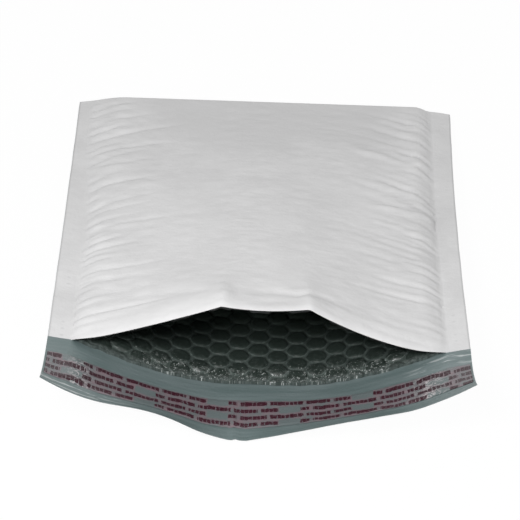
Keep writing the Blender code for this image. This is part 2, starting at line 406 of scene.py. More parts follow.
    def flap_edge_height(self, across: Array) -> Array:
        """Height of the flap's free edge: a valley on the floor, and corners that curl up.

        Args:
            across: Places across the flap.

        Returns:
            Heights.
        """
        left_of_valley = across < self.flap_valley
        side, corner, wave = (
            np.where(left_of_valley, getattr(self.left, name), getattr(self.right, name))
            for name in ("flap_side", "flap_corner", "flap_wave")
        )
        width = self.sheet_half + np.where(left_of_valley, self.flap_valley, -self.flap_valley)
        run = np.maximum(0.0, np.abs(across - self.flap_valley) - self.flap_valley_half)
        past = np.maximum(0.0, np.abs(across) - (self.sheet_half - self.flap_corner_reach))
        turn = 2 * np.pi * (run - self.flap_wave_start) / self.flap_wave_length
        rolling = wave * np.sin(turn) * np.minimum(1.0, run / self.flap_wave_start)
        straight = side * run / (width - self.flap_valley_half)
        return straight + rolling + corner * (past / self.flap_corner_reach) ** self.flap_corner_power

    def flap_sway(self, across: Array, share: Array) -> Array:
        """Slack waves of the flap and the crease down its valley, which its closure follows.

        Args:
            across: Places across the flap.
            share: How far down the flap they are, from 0 to 1.

        Returns:
            Heights above the plain flap.
        """
        waves = sum(layer.at(across, share) for layer in self.flap_waves)
        crease = bell(across - self.flap_crease - self.flap_crease_slant * share, self.flap_crease_width)
        crease = self.flap_crease_height * crease * self.flap_crease_start.rise(share)
        return waves * smooth(share / self.flap_waves_start) + crease

    def on_flap(self, across: Array, share: Array, inside: Array) -> tuple[Array, Array]:
        """Place of a point of the flap. What the flap climbs, it loses in reach.

        Args:
            across: Places across the flap.
            share: How far down the flap they are, from 0 to 1.
            inside: Their heights above the film.

        Returns:
            Their y and z.
        """
        start, end = self.back_height(across, np.zeros_like(across)), self.flap_edge_height(across)
        reach = np.sqrt(np.maximum(0.0, 1.0 - ((end - start) / self.flap_length) ** 2))
        height = start + (end - start) * np.clip(share, 0.0, 1.0) ** self.flap_curl_power
        y = self.mouth_y - self.flap_length * share * reach
        return y, height + inside + self.flap_sway(across, share)

    def on_fold(self, across: Array, turn: Array, inside: Array) -> tuple[Array, Array]:
        """Place of a point of the bottom fold, flat at the seals and half round between them.

        Args:
            across: Places across the fold.
            turn: How far round the fold they are, in radians.
            inside: Their heights above the film.

        Returns:
            Their y and z.
        """
        front = self.front_pillow(across, np.full_like(across, self.fold_start))
        half = self.packed_half * np.where(turn < np.pi / 2, front, self.pillow(across))
        height = self.packed_half + np.maximum(0.0, half - inside) * np.cos(turn)
        return self.fold_y + (self.packed_half - inside) * np.sin(turn), height

    def on_panel(
        self, depth: Array, inside: Array, heights: Sequence[Array], up: int
    ) -> tuple[Array, Array]:
        """Place of a point of a panel, whose length stays the same as it slopes.

        Args:
            depth: Depths of the points.
            inside: Their heights above the film.
            heights: The panel's height at the mouth, at the bottom fold, and at the points.
            up: 1 on the back panel, -1 on the front one.

        Returns:
            Their y and z.
        """
        climb = heights[0] - heights[1]
        reach = np.sqrt(1.0 - (climb / self.fold_start) ** 2)
        return self.fold_y - (self.fold_start - depth) * reach, heights[2] + up * inside

    def depth_of(self, along: Array) -> Array:
        """Depth inside the pouch for a place along the web."""
        back = np.maximum(0.0, self.mouth - along)
        return np.where(along >= self.back_start, back, np.minimum(along, self.fold_start))

    def room_between(self, across: Array, depth: Array) -> Array:
        """Height between the back panel and the front one."""
        return self.front_height(across, depth) - self.back_height(across, depth)

    def folded(self, across: Array, along: Array, inside: Union[Array, float]) -> Array:
        """Folds points of the flat web into the mailer.

        Args:
            across: Places across the web.
            along: Places along the web.
            inside: Heights above the middle of the film.

        Returns:
            Their places in the mailer, with x, y and z in the last axis.
        """
        inside = np.broadcast_to(np.asarray(inside, float), across.shape)
        depth = self.depth_of(along)
        ends = np.zeros_like(across), np.full_like(across, self.fold_start), depth
        front = self.on_panel(depth, inside, [self.front_height(across, end) for end in ends], -1)
        back = self.on_panel(depth, inside, [self.back_height(across, end) for end in ends], 1)
        turn = np.pi * (along - self.fold_start) / (self.back_start - self.fold_start)
        fold = self.on_fold(across, turn, inside)
        flap = self.on_flap(across, (along - self.mouth) / self.flap_length, inside)
        where = [along > self.mouth, along >= self.back_start, along > self.fold_start]
        y = np.select(where, [flap[0], back[0], fold[0]], front[0])
        z = np.select(where, [flap[1], back[1], fold[1]], front[1])
        opened = self.openness(depth)
        pull = self.by_side(across, "pull") * np.sin(np.pi * np.clip(opened, 0.0, 1.0))
        x = across * (1.0 - (self.mouth_narrowing * opened + pull) / self.sheet_half)
        margin = self.corner_pull_margin
        past = np.clip((np.abs(across) - self.seal_line + margin) / (self.seal_width + margin), 0.0, 1.0)
        near_fold = smooth(1.0 - opened * self.fold_start / self.corner_pull_reach)
        y = y - self.corner_pull * past**2 * near_fold
        return np.stack([x, y, np.maximum(z + self.film / 2, 0.0)], axis=-1)


@dataclass(frozen=True)
class Crease:
    """A line pressed into the front panel, as points across and down it in millimetres.

    It rises over its first part, a share of 1 / onset, and fades over its last, one of 1 / fading.
    """

    points: tuple[tuple[float, float], ...]
    height: float
    width: float
    onset: float = 14.0
    fading: float = 1.8

    def raise_at(self, across: Array, depth: Array) -> Array:
        """Height of the ridge that runs along the crease, fading at its ends.

        Args:
            across: Places across the panel.
            depth: Their depths.

        Returns:
            Heights in metres.
        """
        nearest = np.full(across.shape, 1.0)
        reach = np.zeros(across.shape)
        for step, (start, end) in enumerate(zip(self.points, self.points[1:])):
            origin = np.array(start) / MILLIMETRES
            run = (np.array(end) - np.array(start)) / MILLIMETRES
            share = ((across - origin[0]) * run[0] + (depth - origin[1]) * run[1]) / (run @ run)
            share = np.clip(share, 0.0, 1.0)
            gap = np.hypot(across - origin[0] - share * run[0], depth - origin[1] - share * run[1])
            closer = gap < nearest
            nearest = np.where(closer, gap, nearest)
            reach = np.where(closer, (step + share) / (len(self.points) - 1), reach)
        fade = smooth(reach * self.onset) * smooth((1.0 - reach) * self.fading)
        return self.height * bell(nearest, self.width) * fade


@dataclass(frozen=True)
class PuckerRow:
    """Valleys that leave one seal in a row: how far apart, how long, how deep, and how steep.

    The steepness is given at the stations, which are depths.
    """

    seed: int
    seal: float
    spacing: float
    reach: Span
    height: float
    width: float
    steepness: tuple[float, ...]

    STATIONS = (0.0, 0.05, 0.09, 0.13, 0.19, 0.23, 0.28)
    SHARES = (0.0, 0.22, 0.6, 1.0)
    FIRST = 0.35
    SLOPE_CHANCE = (0.85, 1.15)
    REACH_POWER = 1.4
    BEND_CHANCE = (0.1, 0.6)
    BEND_AT_SEAL = 0.4
    WANDER = 0.0006
    HEIGHT_CHANCE = (0.35, 1.2)
    WIDTH_CHANCE = (0.8, 1.35)
    SPACING_CHANCE = (0.6, 1.45)

    def creases(self, depth: float) -> list[Crease]:
        """Draws the row's valleys by chance, from a fixed seed.

        Args:
            depth: How far down the pouch the row runs.

        Returns:
            The valleys, each with four points that run inwards from the seal.
        """
        chance = np.random.default_rng(self.seed)
        made, place = [], self.FIRST * self.spacing
        inward = -math.copysign(1.0, self.seal)
        while place < depth:
            slope = np.interp(place, self.STATIONS, self.steepness) * chance.uniform(*self.SLOPE_CHANCE)
            reach = self.reach.start + self.reach.length * chance.random() ** self.REACH_POWER
            bend = chance.uniform(*self.BEND_CHANCE)
            points = []
            for share in self.SHARES:
                run = share * reach
                bent = slope * run * (1.0 + self.BEND_AT_SEAL * bend - bend * share)
                down = place + bent + chance.uniform(-self.WANDER, self.WANDER)
                points.append((MILLIMETRES * (self.seal + inward * run), MILLIMETRES * down))
            height = self.height * chance.uniform(*self.HEIGHT_CHANCE)
            made.append(Crease(tuple(points), -height, self.width * chance.uniform(*self.WIDTH_CHANCE)))
            place += self.spacing * chance.uniform(*self.SPACING_CHANCE)
        return made


@dataclass(frozen=True)
class FilmRelief:
    """How far the film stands out from its plain folded form, in wrinkles and puckers."""

    form: MailerForm
    swell: float = 0.0009
    swells: tuple[Ruffle, ...] = (
        Ruffle(71, (0.060, 0.075), (4.2, 1.7)),
        Ruffle(71, (0.024, 0.020), (14.2, 8.7), 0.35),
    )
    uneven: tuple[Ruffle, ...] = (
        Ruffle(5, (0.019, 0.0058), (3.0, 2.0), 0.22),
        Ruffle(5, (0.009, 0.0034), (11.0, 6.0), 0.11),
    )
    uneven_start: float = 0.004
    uneven_fade: Span = Span(0.012, 0.062)
    back_moved: float = 0.31
    imprint: float = 0.00018
    imprint_level: float = 0.45
    imprint_patches: Ruffle = Ruffle(61, (0.030, 0.030), height=0.7)
    ripples: Ruffle = Ruffle(61, (0.011, 0.0036), (5.0, 0.0), 1.1)
    ripple_slant: float = 0.9 / 11
    ripple_ribbons: tuple[tuple[float, float], ...] = ((-0.008, 0.009), (0.038, 0.011))
    puff: float = 0.0009
    puff_fade: Span = Span(0.004, 0.016)
    seal_softness: float = 0.002
    end_softness: float = 0.010
    lip_level: float = 0.3
    mouth_level: float = 0.62
    mouth_reach: float = 0.13
    deepest: float = 0.2
    rows: tuple[PuckerRow, ...] = (
        PuckerRow(
            seed=3, seal=-0.1000, spacing=0.0092, reach=Span(0.020, 0.070), height=0.00126,
            width=0.0020, steepness=(0.10, 0.10, 0.25, 0.50, 0.60, 0.52, 0.42),
        ),
        PuckerRow(
            seed=8, seal=-0.0995, spacing=0.0050, reach=Span(0.006, 0.030), height=0.00062,
            width=0.0015, steepness=(0.10, 0.10, 0.30, 0.55, 0.65, 0.55, 0.45),
        ),
        PuckerRow(
            seed=21, seal=0.0960, spacing=0.0078, reach=Span(0.018, 0.064), height=0.00096,
            width=0.0020, steepness=(0.10, 0.15, 0.55, 0.85, 0.85, 0.70, 0.60),
        ),
        PuckerRow(
            seed=34, seal=0.0960, spacing=0.0052, reach=Span(0.006, 0.030), height=0.00042,
            width=0.0015, steepness=(0.10, 0.15, 0.50, 0.85, 0.90, 0.70, 0.60),
        ),
        PuckerRow(
            seed=55, seal=0.0860, spacing=0.0100, reach=Span(0.036, 0.060), height=0.00050,
            width=0.0021, steepness=(0.10, 0.15, 0.45, 0.62, 0.60, 0.52, 0.45),
        ),
    )
    creases: tuple[Crease, ...] = (
        Crease(((94, 199), (77, 203), (66, 209), (54, 215), (48, 223), (36, 230)), 0.0012, 0.0034),
        Crease(((90, 200), (83, 208), (71, 221), (58, 232)), 0.0007, 0.0028),
        Crease(((94, 135), (75, 144), (62, 146), (47, 154)), 0.0008, 0.0028),
        Crease(((92, 155), (87, 159), (71, 172), (54, 183)), 0.0006, 0.0026),
        Crease(((-96, 184), (-90, 186), (-79, 188), (-62, 193)), 0.0008, 0.0030),
        Crease(((-96, 150), (-78, 155), (-66, 165), (-46, 172)), 0.0007, 0.0028),
        Crease(((-94, 114), (-73, 114), (-66, 120), (-51, 131)), 0.0007, 0.0028),
        Crease(((-20, -3), (-18, 10), (-13, 24)), 0.0009, 0.0024),
        Crease(((25, -3), (28, 9), (37, 22)), 0.0006, 0.0028),
        Crease(((-3, 10), (8, 9), (18, 11)), -0.0006, 0.0030, 3.0),
        Crease(((-17, 22), (5, 21), (20, 18), (34, 20), (54, 24), (74, 38)), -0.0010, 0.0038, 4.0),
        Crease(((-22, 18), (-45, 26), (-75, 30)), -0.0006, 0.0040, 4.0),
    )

    def bubbles_showing(self, across: Array, depth: Array) -> Array:
        """The faint imprint of the bubbles under the film, and two ribbons of fine ripples.

        Args:
            across: Places across the panel.
            depth: Their depths.

        Returns:
            Heights in metres.
        """
        columns = np.cos(2 * np.pi * across / (BUBBLE_PITCH * math.sqrt(3)))
        rows = np.cos(2 * np.pi * depth / BUBBLE_PITCH)
        patches = self.imprint_level + self.imprint_patches.at(across, depth)
        ribbons = sum(bell(across - place, width) for place, width in self.ripple_ribbons)
        ripples = self.ripples.at(across, depth + self.ripple_slant * across)
        return self.imprint * (patches * (columns + 0.5) * rows + ribbons * ripples)

    def slack(self, across: Array, depth: Array) -> Array:
        """Soft swells, and a fine unevenness near the seals.

        Args:
            across: Places across the panel.
            depth: Their depths.

        Returns:
            Heights in metres.
        """
        from_seal = self.form.seal_line - np.abs(across)
        beside = smooth(from_seal / self.uneven_start) * self.uneven_fade.fall(from_seal)
        waves = sum(layer.at(across, depth) for layer in self.swells)
        return self.swell * (waves + beside * sum(layer.at(across, depth) for layer in self.uneven))

    def puckers(self, across: Array, depth: Array) -> Array:
        """All the rows of puckers, calmer towards the mouth.

        Args:
            across: Places across the panel, as seen on the front one.
            depth: Their depths.

        Returns:
            Heights in metres.
        """
        level = self.mouth_level + (1.0 - self.mouth_level) * smooth(depth / self.mouth_reach)
        valleys = [valley for row in self.rows for valley in row.creases(self.form.fold_start)]
        return level * sum(valley.raise_at(across, depth) for valley in valleys)

    def height(self, across: Array, along: Array) -> Array:
        """How far the film stands out.

        Args:
            across: Places across the web.
            along: Places along the web.

        Returns:
            Heights in metres, outwards.
        """
        form = self.form
        depth = form.depth_of(along)
        is_front = along < form.back_start
        relief = self.slack(across, depth + np.where(is_front, 0.0, self.back_moved))
        relief += self.bubbles_showing(across, depth)
        relief += self.puckers(np.where(is_front, across, -across), depth)
        relief += np.where(is_front, sum(crease.raise_at(across, depth) for crease in self.creases), 0.0)
        from_seal = form.seal_line + np.where(is_front, form.drift(across, depth), 0.0) - np.abs(across)
        relief += self.puff * self.puff_fade.fall(from_seal)
        relief *= smooth(from_seal / self.seal_softness)
        relief *= smooth((form.fold_start - depth) / self.end_softness)
        relief *= self.lip_level + (1.0 - self.lip_level) * smooth(depth / self.end_softness)
        relief = np.maximum(relief, -self.deepest * form.room_between(across, depth))
        return np.where(along > form.mouth, 0.0, relief)


Numeric = Union["Value", float, Colour, tuple[float, ...]]


class Value:
    """A socket of a material's nodes; arithmetic on it adds the Math nodes that work it out."""

    def __init__(self, shader: "Shader", socket: bpy.types.NodeSocket) -> None:
        """Keeps the socket and the material that it belongs to."""
        self.shader = shader
        self.socket = socket

    def _math(self, operation: str, *terms: Numeric) -> "Value":
        """Adds one Math node."""
        return self.shader.node("ShaderNodeMath", {"operation": operation}, dict(enumerate(terms)))

    def __add__(self, other: Numeric) -> "Value":
        """Adds a number or another value."""
        return self._math("ADD", self, other)

    def __radd__(self, other: Numeric) -> "Value":
        """Adds this value to a number."""
        return self._math("ADD", other, self)

    def __sub__(self, other: Numeric) -> "Value":
        """Takes a number or another value away."""
        return self._math("SUBTRACT", self, other)

    def __rsub__(self, other: Numeric) -> "Value":
        """Takes this value away from a number."""
        return self._math("SUBTRACT", other, self)

    def __mul__(self, other: Numeric) -> "Value":
        """Multiplies by a number or another value."""
        return self._math("MULTIPLY", self, other)

    def __rmul__(self, other: Numeric) -> "Value":
        """Multiplies a number by this value."""
        return self._math("MULTIPLY", other, self)

    def __truediv__(self, other: Numeric) -> "Value":
        """Divides by a number or another value."""
        return self._math("DIVIDE", self, other)

    def __gt__(self, other: Numeric) -> "Value":
        """Gives 1 where this value is the greater one."""
        return self._math("GREATER_THAN", self, other)

    def __lt__(self, other: Numeric) -> "Value":
        """Gives 1 where this value is the smaller one."""
        return self._math("LESS_THAN", self, other)

    def floor(self) -> "Value":
        """Rounds down to a whole number."""
        return self._math("FLOOR", self)

    def wrapped(self, length: float) -> "Value":
        """What is left of the value after whole lengths are taken away."""
        return self._math("WRAP", self, length, 0.0)

    def distance_to(self, middle: float) -> "Value":
        """How far the value is from a middle."""
        return self._math("ABSOLUTE", self - middle)

    def rise(self, span: Span) -> "Value":
        """Rises from 0 to 1 as the value passes along a stretch.

        Args:
            span: The stretch.

        Returns:
            The risen value.
        """
        settings = {"interpolation_type": "SMOOTHSTEP", "clamp": True}
        sockets = {0: self, 1: span.start, 2: span.end, 3: 0.0, 4: 1.0}
        return self.shader.node("ShaderNodeMapRange", settings, sockets)

    def fall(self, span: Span) -> "Value":
        """Falls from 1 to 0 as the value passes along a stretch."""
        return 1.0 - self.rise(span)

    def pick(self, span: Span) -> "Value":
        """The number at this share of a stretch."""
        return span.start + span.length * self


@dataclass(frozen=True)
class Grain:
    """A noise over the flat web: its cells to the metre across and along it, and its build-up."""

    across: float
    along: float
    detail: float = 2.0
    roughness: float = 0.5


class Shader:
    """The nodes of one material or of the world, added one after another."""

    def __init__(self, owner: Union[bpy.types.Material, bpy.types.World]) -> None:
        """Starts the nodes of a material, with a plain Principled shader, or of a world.

        Args:
            owner: The material or the world.
        """
        owner.use_nodes = True
        self.owner = owner
        self.tree = owner.node_tree

    @classmethod
    def of_material(cls, name: str) -> "Shader":
        """Starts a new material."""
        return cls(bpy.data.materials.new(name))

    @property
    def surface(self) -> bpy.types.Node:
        """The material's Principled shader."""
        return self.tree.nodes["Principled BSDF"]

    def feed(self, socket: bpy.types.NodeSocket, value: Numeric) -> None:
        """Links a value to a socket, or sets the socket to a number or a colour.

        Args:
            socket: The socket.
            value: What it is fed with.
        """
        if isinstance(value, Value):
            self.tree.links.new(value.socket, socket)
        elif socket.type == "RGBA":
            socket.default_value = (*value, 1.0)
        else:
            socket.default_value = value

    def node(
        self,
        kind: str,
        settings: Mapping[str, object],
        sockets: Mapping[Union[str, int], Numeric],
        output: Union[str, int] = 0,
    ) -> Value:
        """Adds a node.

        Args:
            kind: The node's type.
            settings: Its settings, which are set first; stops are a ramp's places and colours.
            sockets: What its sockets are fed with.
            output: The output that is read.

        Returns:
            The output's value.
        """
        made = self.tree.nodes.new(kind)
        for name, setting in settings.items():
            if name == "stops":
                self.set_stops(made.color_ramp, setting)
            else:
                setattr(made, name, setting)
        for name, value in sockets.items():
            self.feed(made.inputs[name], value)
        return Value(self, made.outputs[output])

    def set_stops(self, ramp: bpy.types.ColorRamp, stops: Sequence[tuple[float, Colour]]) -> None:
        """Gives a ramp its places and colours, each held up to the next.

        Args:
            ramp: The ramp.
            stops: Its places, in order, and their colours.
        """
        ramp.interpolation = "CONSTANT"
        while len(ramp.elements) < len(stops):
            ramp.elements.new(1.0)
        for element, (place, colour) in zip(ramp.elements, stops):
            element.position = place
            element.color = (*colour, 1.0)

    def mix(self, share: Numeric, first: Numeric, second: Numeric) -> Value:
        """Mixes two colours."""
        settings = {"data_type": "RGBA", "clamp_factor": True}
        return self.node("ShaderNodeMix", settings, {0: share, 6: first, 7: second}, 2)

    def stored(self, name: str) -> Value:
        """A number that the mesh's points carry."""
        return self.node("ShaderNodeAttribute", {"attribute_name": name}, {}, "Fac")

    def flat_place(self) -> Value:
        """The place on the flat web, as a vector."""
        return self.node("ShaderNodeAttribute", {"attribute_name": "flat"}, {}, "Vector")

    def flat(self) -> tuple[Value, Value]:
        """The flat coordinates.

        Returns:
            The place across the web, and the one along it.
        """
        place = self.flat_place()
        across, along = (self.node("ShaderNodeSeparateXYZ", {}, {0: place}, axis) for axis in "XY")
        return across, along

    def grain(self, grain: Grain) -> Value:
        """Reads a noise over the flat web.

        Args:
            grain: The noise.

        Returns:
            A value between 0 and 1.
        """
        sockets = {0: self.flat_place(), 1: (grain.across, grain.along, 0.0)}
        stretched = self.node("ShaderNodeVectorMath", {"operation": "MULTIPLY"}, sockets)
        sockets = {"Vector": stretched, "Scale": 1.0, "Detail": grain.detail, "Roughness": grain.roughness}
        return self.node("ShaderNodeTexNoise", {}, sockets)

    def bump(self, height: Value, distance: float) -> Value:
        """Turns a height into a normal."""
        return self.node("ShaderNodeBump", {}, {"Height": height, "Distance": distance, "Strength": 1.0})

    def finish(self, sockets: Mapping[str, Numeric]) -> bpy.types.Material:
        """Feeds the surface's sockets and hands the material over.

        Args:
            sockets: What the Principled shader's sockets are fed with.

        Returns:
            The material.
        """
        for name, value in sockets.items():
            self.feed(self.surface.inputs[name], value)
        return self.owner


@dataclass(frozen=True)
class WhiteFilm:
    """The outside of the film: white, satin and mottled, with painted shade on its seals' dimples, along its
    side edges and over its far middle.
    """

    colour: Colour = (0.648, 0.646, 0.648)
    shade: Colour = (0.580, 0.578, 0.580)
    # Painted shade: the dark colour of the seals' dimples and of a thin line along the side edges
    pressed: Colour = (0.330, 0.335, 0.340)
    broad: Grain = Grain(26.0, 26.0, 3.0)
    broad_share: float = 0.7
    mottle: Grain = Grain(140.0, 140.0, 3.0, 0.55)
    mottle_share: float = 0.3
    tone_span: Span = Span(0.26, 0.66)
    # Painted shade: the tone darkens over the middle of the panel from near its far end on
    far_shade_along: Span = Span(0.180, 0.250)
    far_shade_middle: float = 0.005
    far_shade_aside: Span = Span(0.030, 0.085)
    far_shade_darkening: float = 0.28
    # Painted shade of dimples in the seals, drawn as dark spots with no relief
    dimple_line: float = 0.1012
    dimple_pitch: float = 0.0066
    dimple_radius: float = 0.0013
    dimple_patches: Span = Span(0.42, 0.56)
    dimple_fade: Span = Span(0.045, 0.090)
    dimple_strength: float = 0.24
    # Painted shade: a thin dark line along the film's side edges
    rim: Span = Span(0.1068, 0.1077)
    rim_strength: float = 0.50
    gloss: Grain = Grain(60.0, 96.0)
    roughness: Span = Span(0.38, 0.54)
    specular: float = 0.25
    wrinkles: Grain = Grain(200.0, 260.0, 3.0, 0.6)
    wrinkle_share: float = 0.8
    embossing: Grain = Grain(1500.0, 1500.0)
    embossing_share: float = 0.10
    relief: float = 0.00038

    def material(self) -> bpy.types.Material:
        """Makes the material.

        Returns:
            The material.
        """
        shader = Shader.of_material("white_film_outside")
        across, along = shader.flat()
        broad = shader.grain(self.broad)
        # Painted shade over the middle of the panel's far end, taken off the tone
        far_shade = along.rise(self.far_shade_along) * across.distance_to(self.far_shade_middle).fall(self.far_shade_aside)
        tone = self.broad_share * broad + self.mottle_share * shader.grain(self.mottle)
        tone = (tone - self.far_shade_darkening * far_shade).rise(self.tone_span)
        aside = across.distance_to(0.0)
        beside = aside - self.dimple_line
        beyond = along.wrapped(self.dimple_pitch) - self.dimple_pitch / 2
        dimples = (beside * beside + beyond * beyond).fall(Span(0.0, self.dimple_radius**2))
        dimples = dimples * broad.rise(self.dimple_patches) * along.fall(self.dimple_fade)
        # Painted shade of the dimples and of the side-edge line
        marks = self.dimple_strength * dimples + self.rim_strength * aside.rise(self.rim)
        height = self.wrinkle_share * shader.grain(self.wrinkles)
        height = height + self.embossing_share * shader.grain(self.embossing)
        return shader.finish({
            "Base Color": shader.mix(marks, shader.mix(tone, self.shade, self.colour), self.pressed),
            "Roughness": shader.grain(self.gloss).pick(self.roughness),
            "Specular IOR Level": self.specular,
            "Normal": shader.bump(height, self.relief),
        })


@dataclass(frozen=True)
class PaintedHighlight:
    """Pale streaks of painted highlight on the flap: where they fade in, how far past a line of the web, how
    wide.
    """

    side: Span
    past_line: float
    width: Span


@dataclass(frozen=True)
class GreyFilm:
    """The inside of the film: grey-green and satin, streaked along the flap, with painted highlights in
    places and painted shade behind the lip.
    """

    form: MailerForm
    colour: Colour = (0.150, 0.188, 0.190)
    shade: Colour = (0.100, 0.138, 0.137)
    # Painted shade: the inside of the film turns nearly black just behind the lip
    painted_shade_behind_lip: Colour = (0.012, 0.014, 0.013)
    painted_shade_behind_lip_span: Span = Span(0.006, 0.020)
    # Painted highlight: pale streaks near the flap's free edge at the left, and near the mouth at the right
    painted_highlight: Colour = (0.38, 0.41, 0.41)
    painted_highlight_streaks: Grain = Grain(70.0, 560.0, 3.0, 0.6)
    painted_highlight_span: Span = Span(0.52, 0.62)
    edge_highlight: PaintedHighlight = PaintedHighlight(Span(-0.052, -0.092), -0.005, Span(0.002, 0.006))
    mouth_highlight: PaintedHighlight = PaintedHighlight(Span(0.068, 0.094), 0.006, Span(0.002, 0.007))
    streaks: Grain = Grain(18.0, 190.0, 3.0, 0.6)
    streak_share: float = 0.6
    broad: Grain = Grain(24.0, 24.0)
    broad_share: float = 0.4
    tone_span: Span = Span(0.34, 0.68)
    roughness: Span = Span(0.30, 0.52)
    specular: float = 0.42
    lines: Grain = Grain(60.0, 620.0, 3.0, 0.6)
    line_share: float = 0.5
    crumple: Grain = Grain(300.0, 420.0, 3.0, 0.6)
    crumple_share: float = 0.35
    relief: float = 0.0006

    def material(self) -> bpy.types.Material:
        """Makes the material.

        Returns:
            The material.
        """
        shader = Shader.of_material("grey_film_inside")
        across, along = shader.flat()
        streaks = shader.grain(self.streaks)
        tone = self.streak_share * streaks + self.broad_share * shader.grain(self.broad)
        base = shader.mix(tone.rise(self.tone_span), self.shade, self.colour)
        # Painted highlights, in pale streaks
        highlights = (self.edge_highlight, self.form.web_end), (self.mouth_highlight, self.form.mouth)
        highlighted = sum(
            across.rise(highlight.side) * along.distance_to(line + highlight.past_line).fall(highlight.width)
            for highlight, line in highlights
        )
        streaked = shader.grain(self.painted_highlight_streaks).rise(self.painted_highlight_span)
        base = shader.mix(highlighted * streaked, base, self.painted_highlight)
        height = self.line_share * shader.grain(self.lines)
        height = height + self.crumple_share * shader.grain(self.crumple)
        return shader.finish({
            # Painted shade behind the lip
            "Base Color": shader.mix(along.fall(self.painted_shade_behind_lip_span), base, self.painted_shade_behind_lip),
            "Roughness": streaks.pick(self.roughness),
            "Specular IOR Level": self.specular,
            "Normal": shader.bump(height, self.relief),
        })


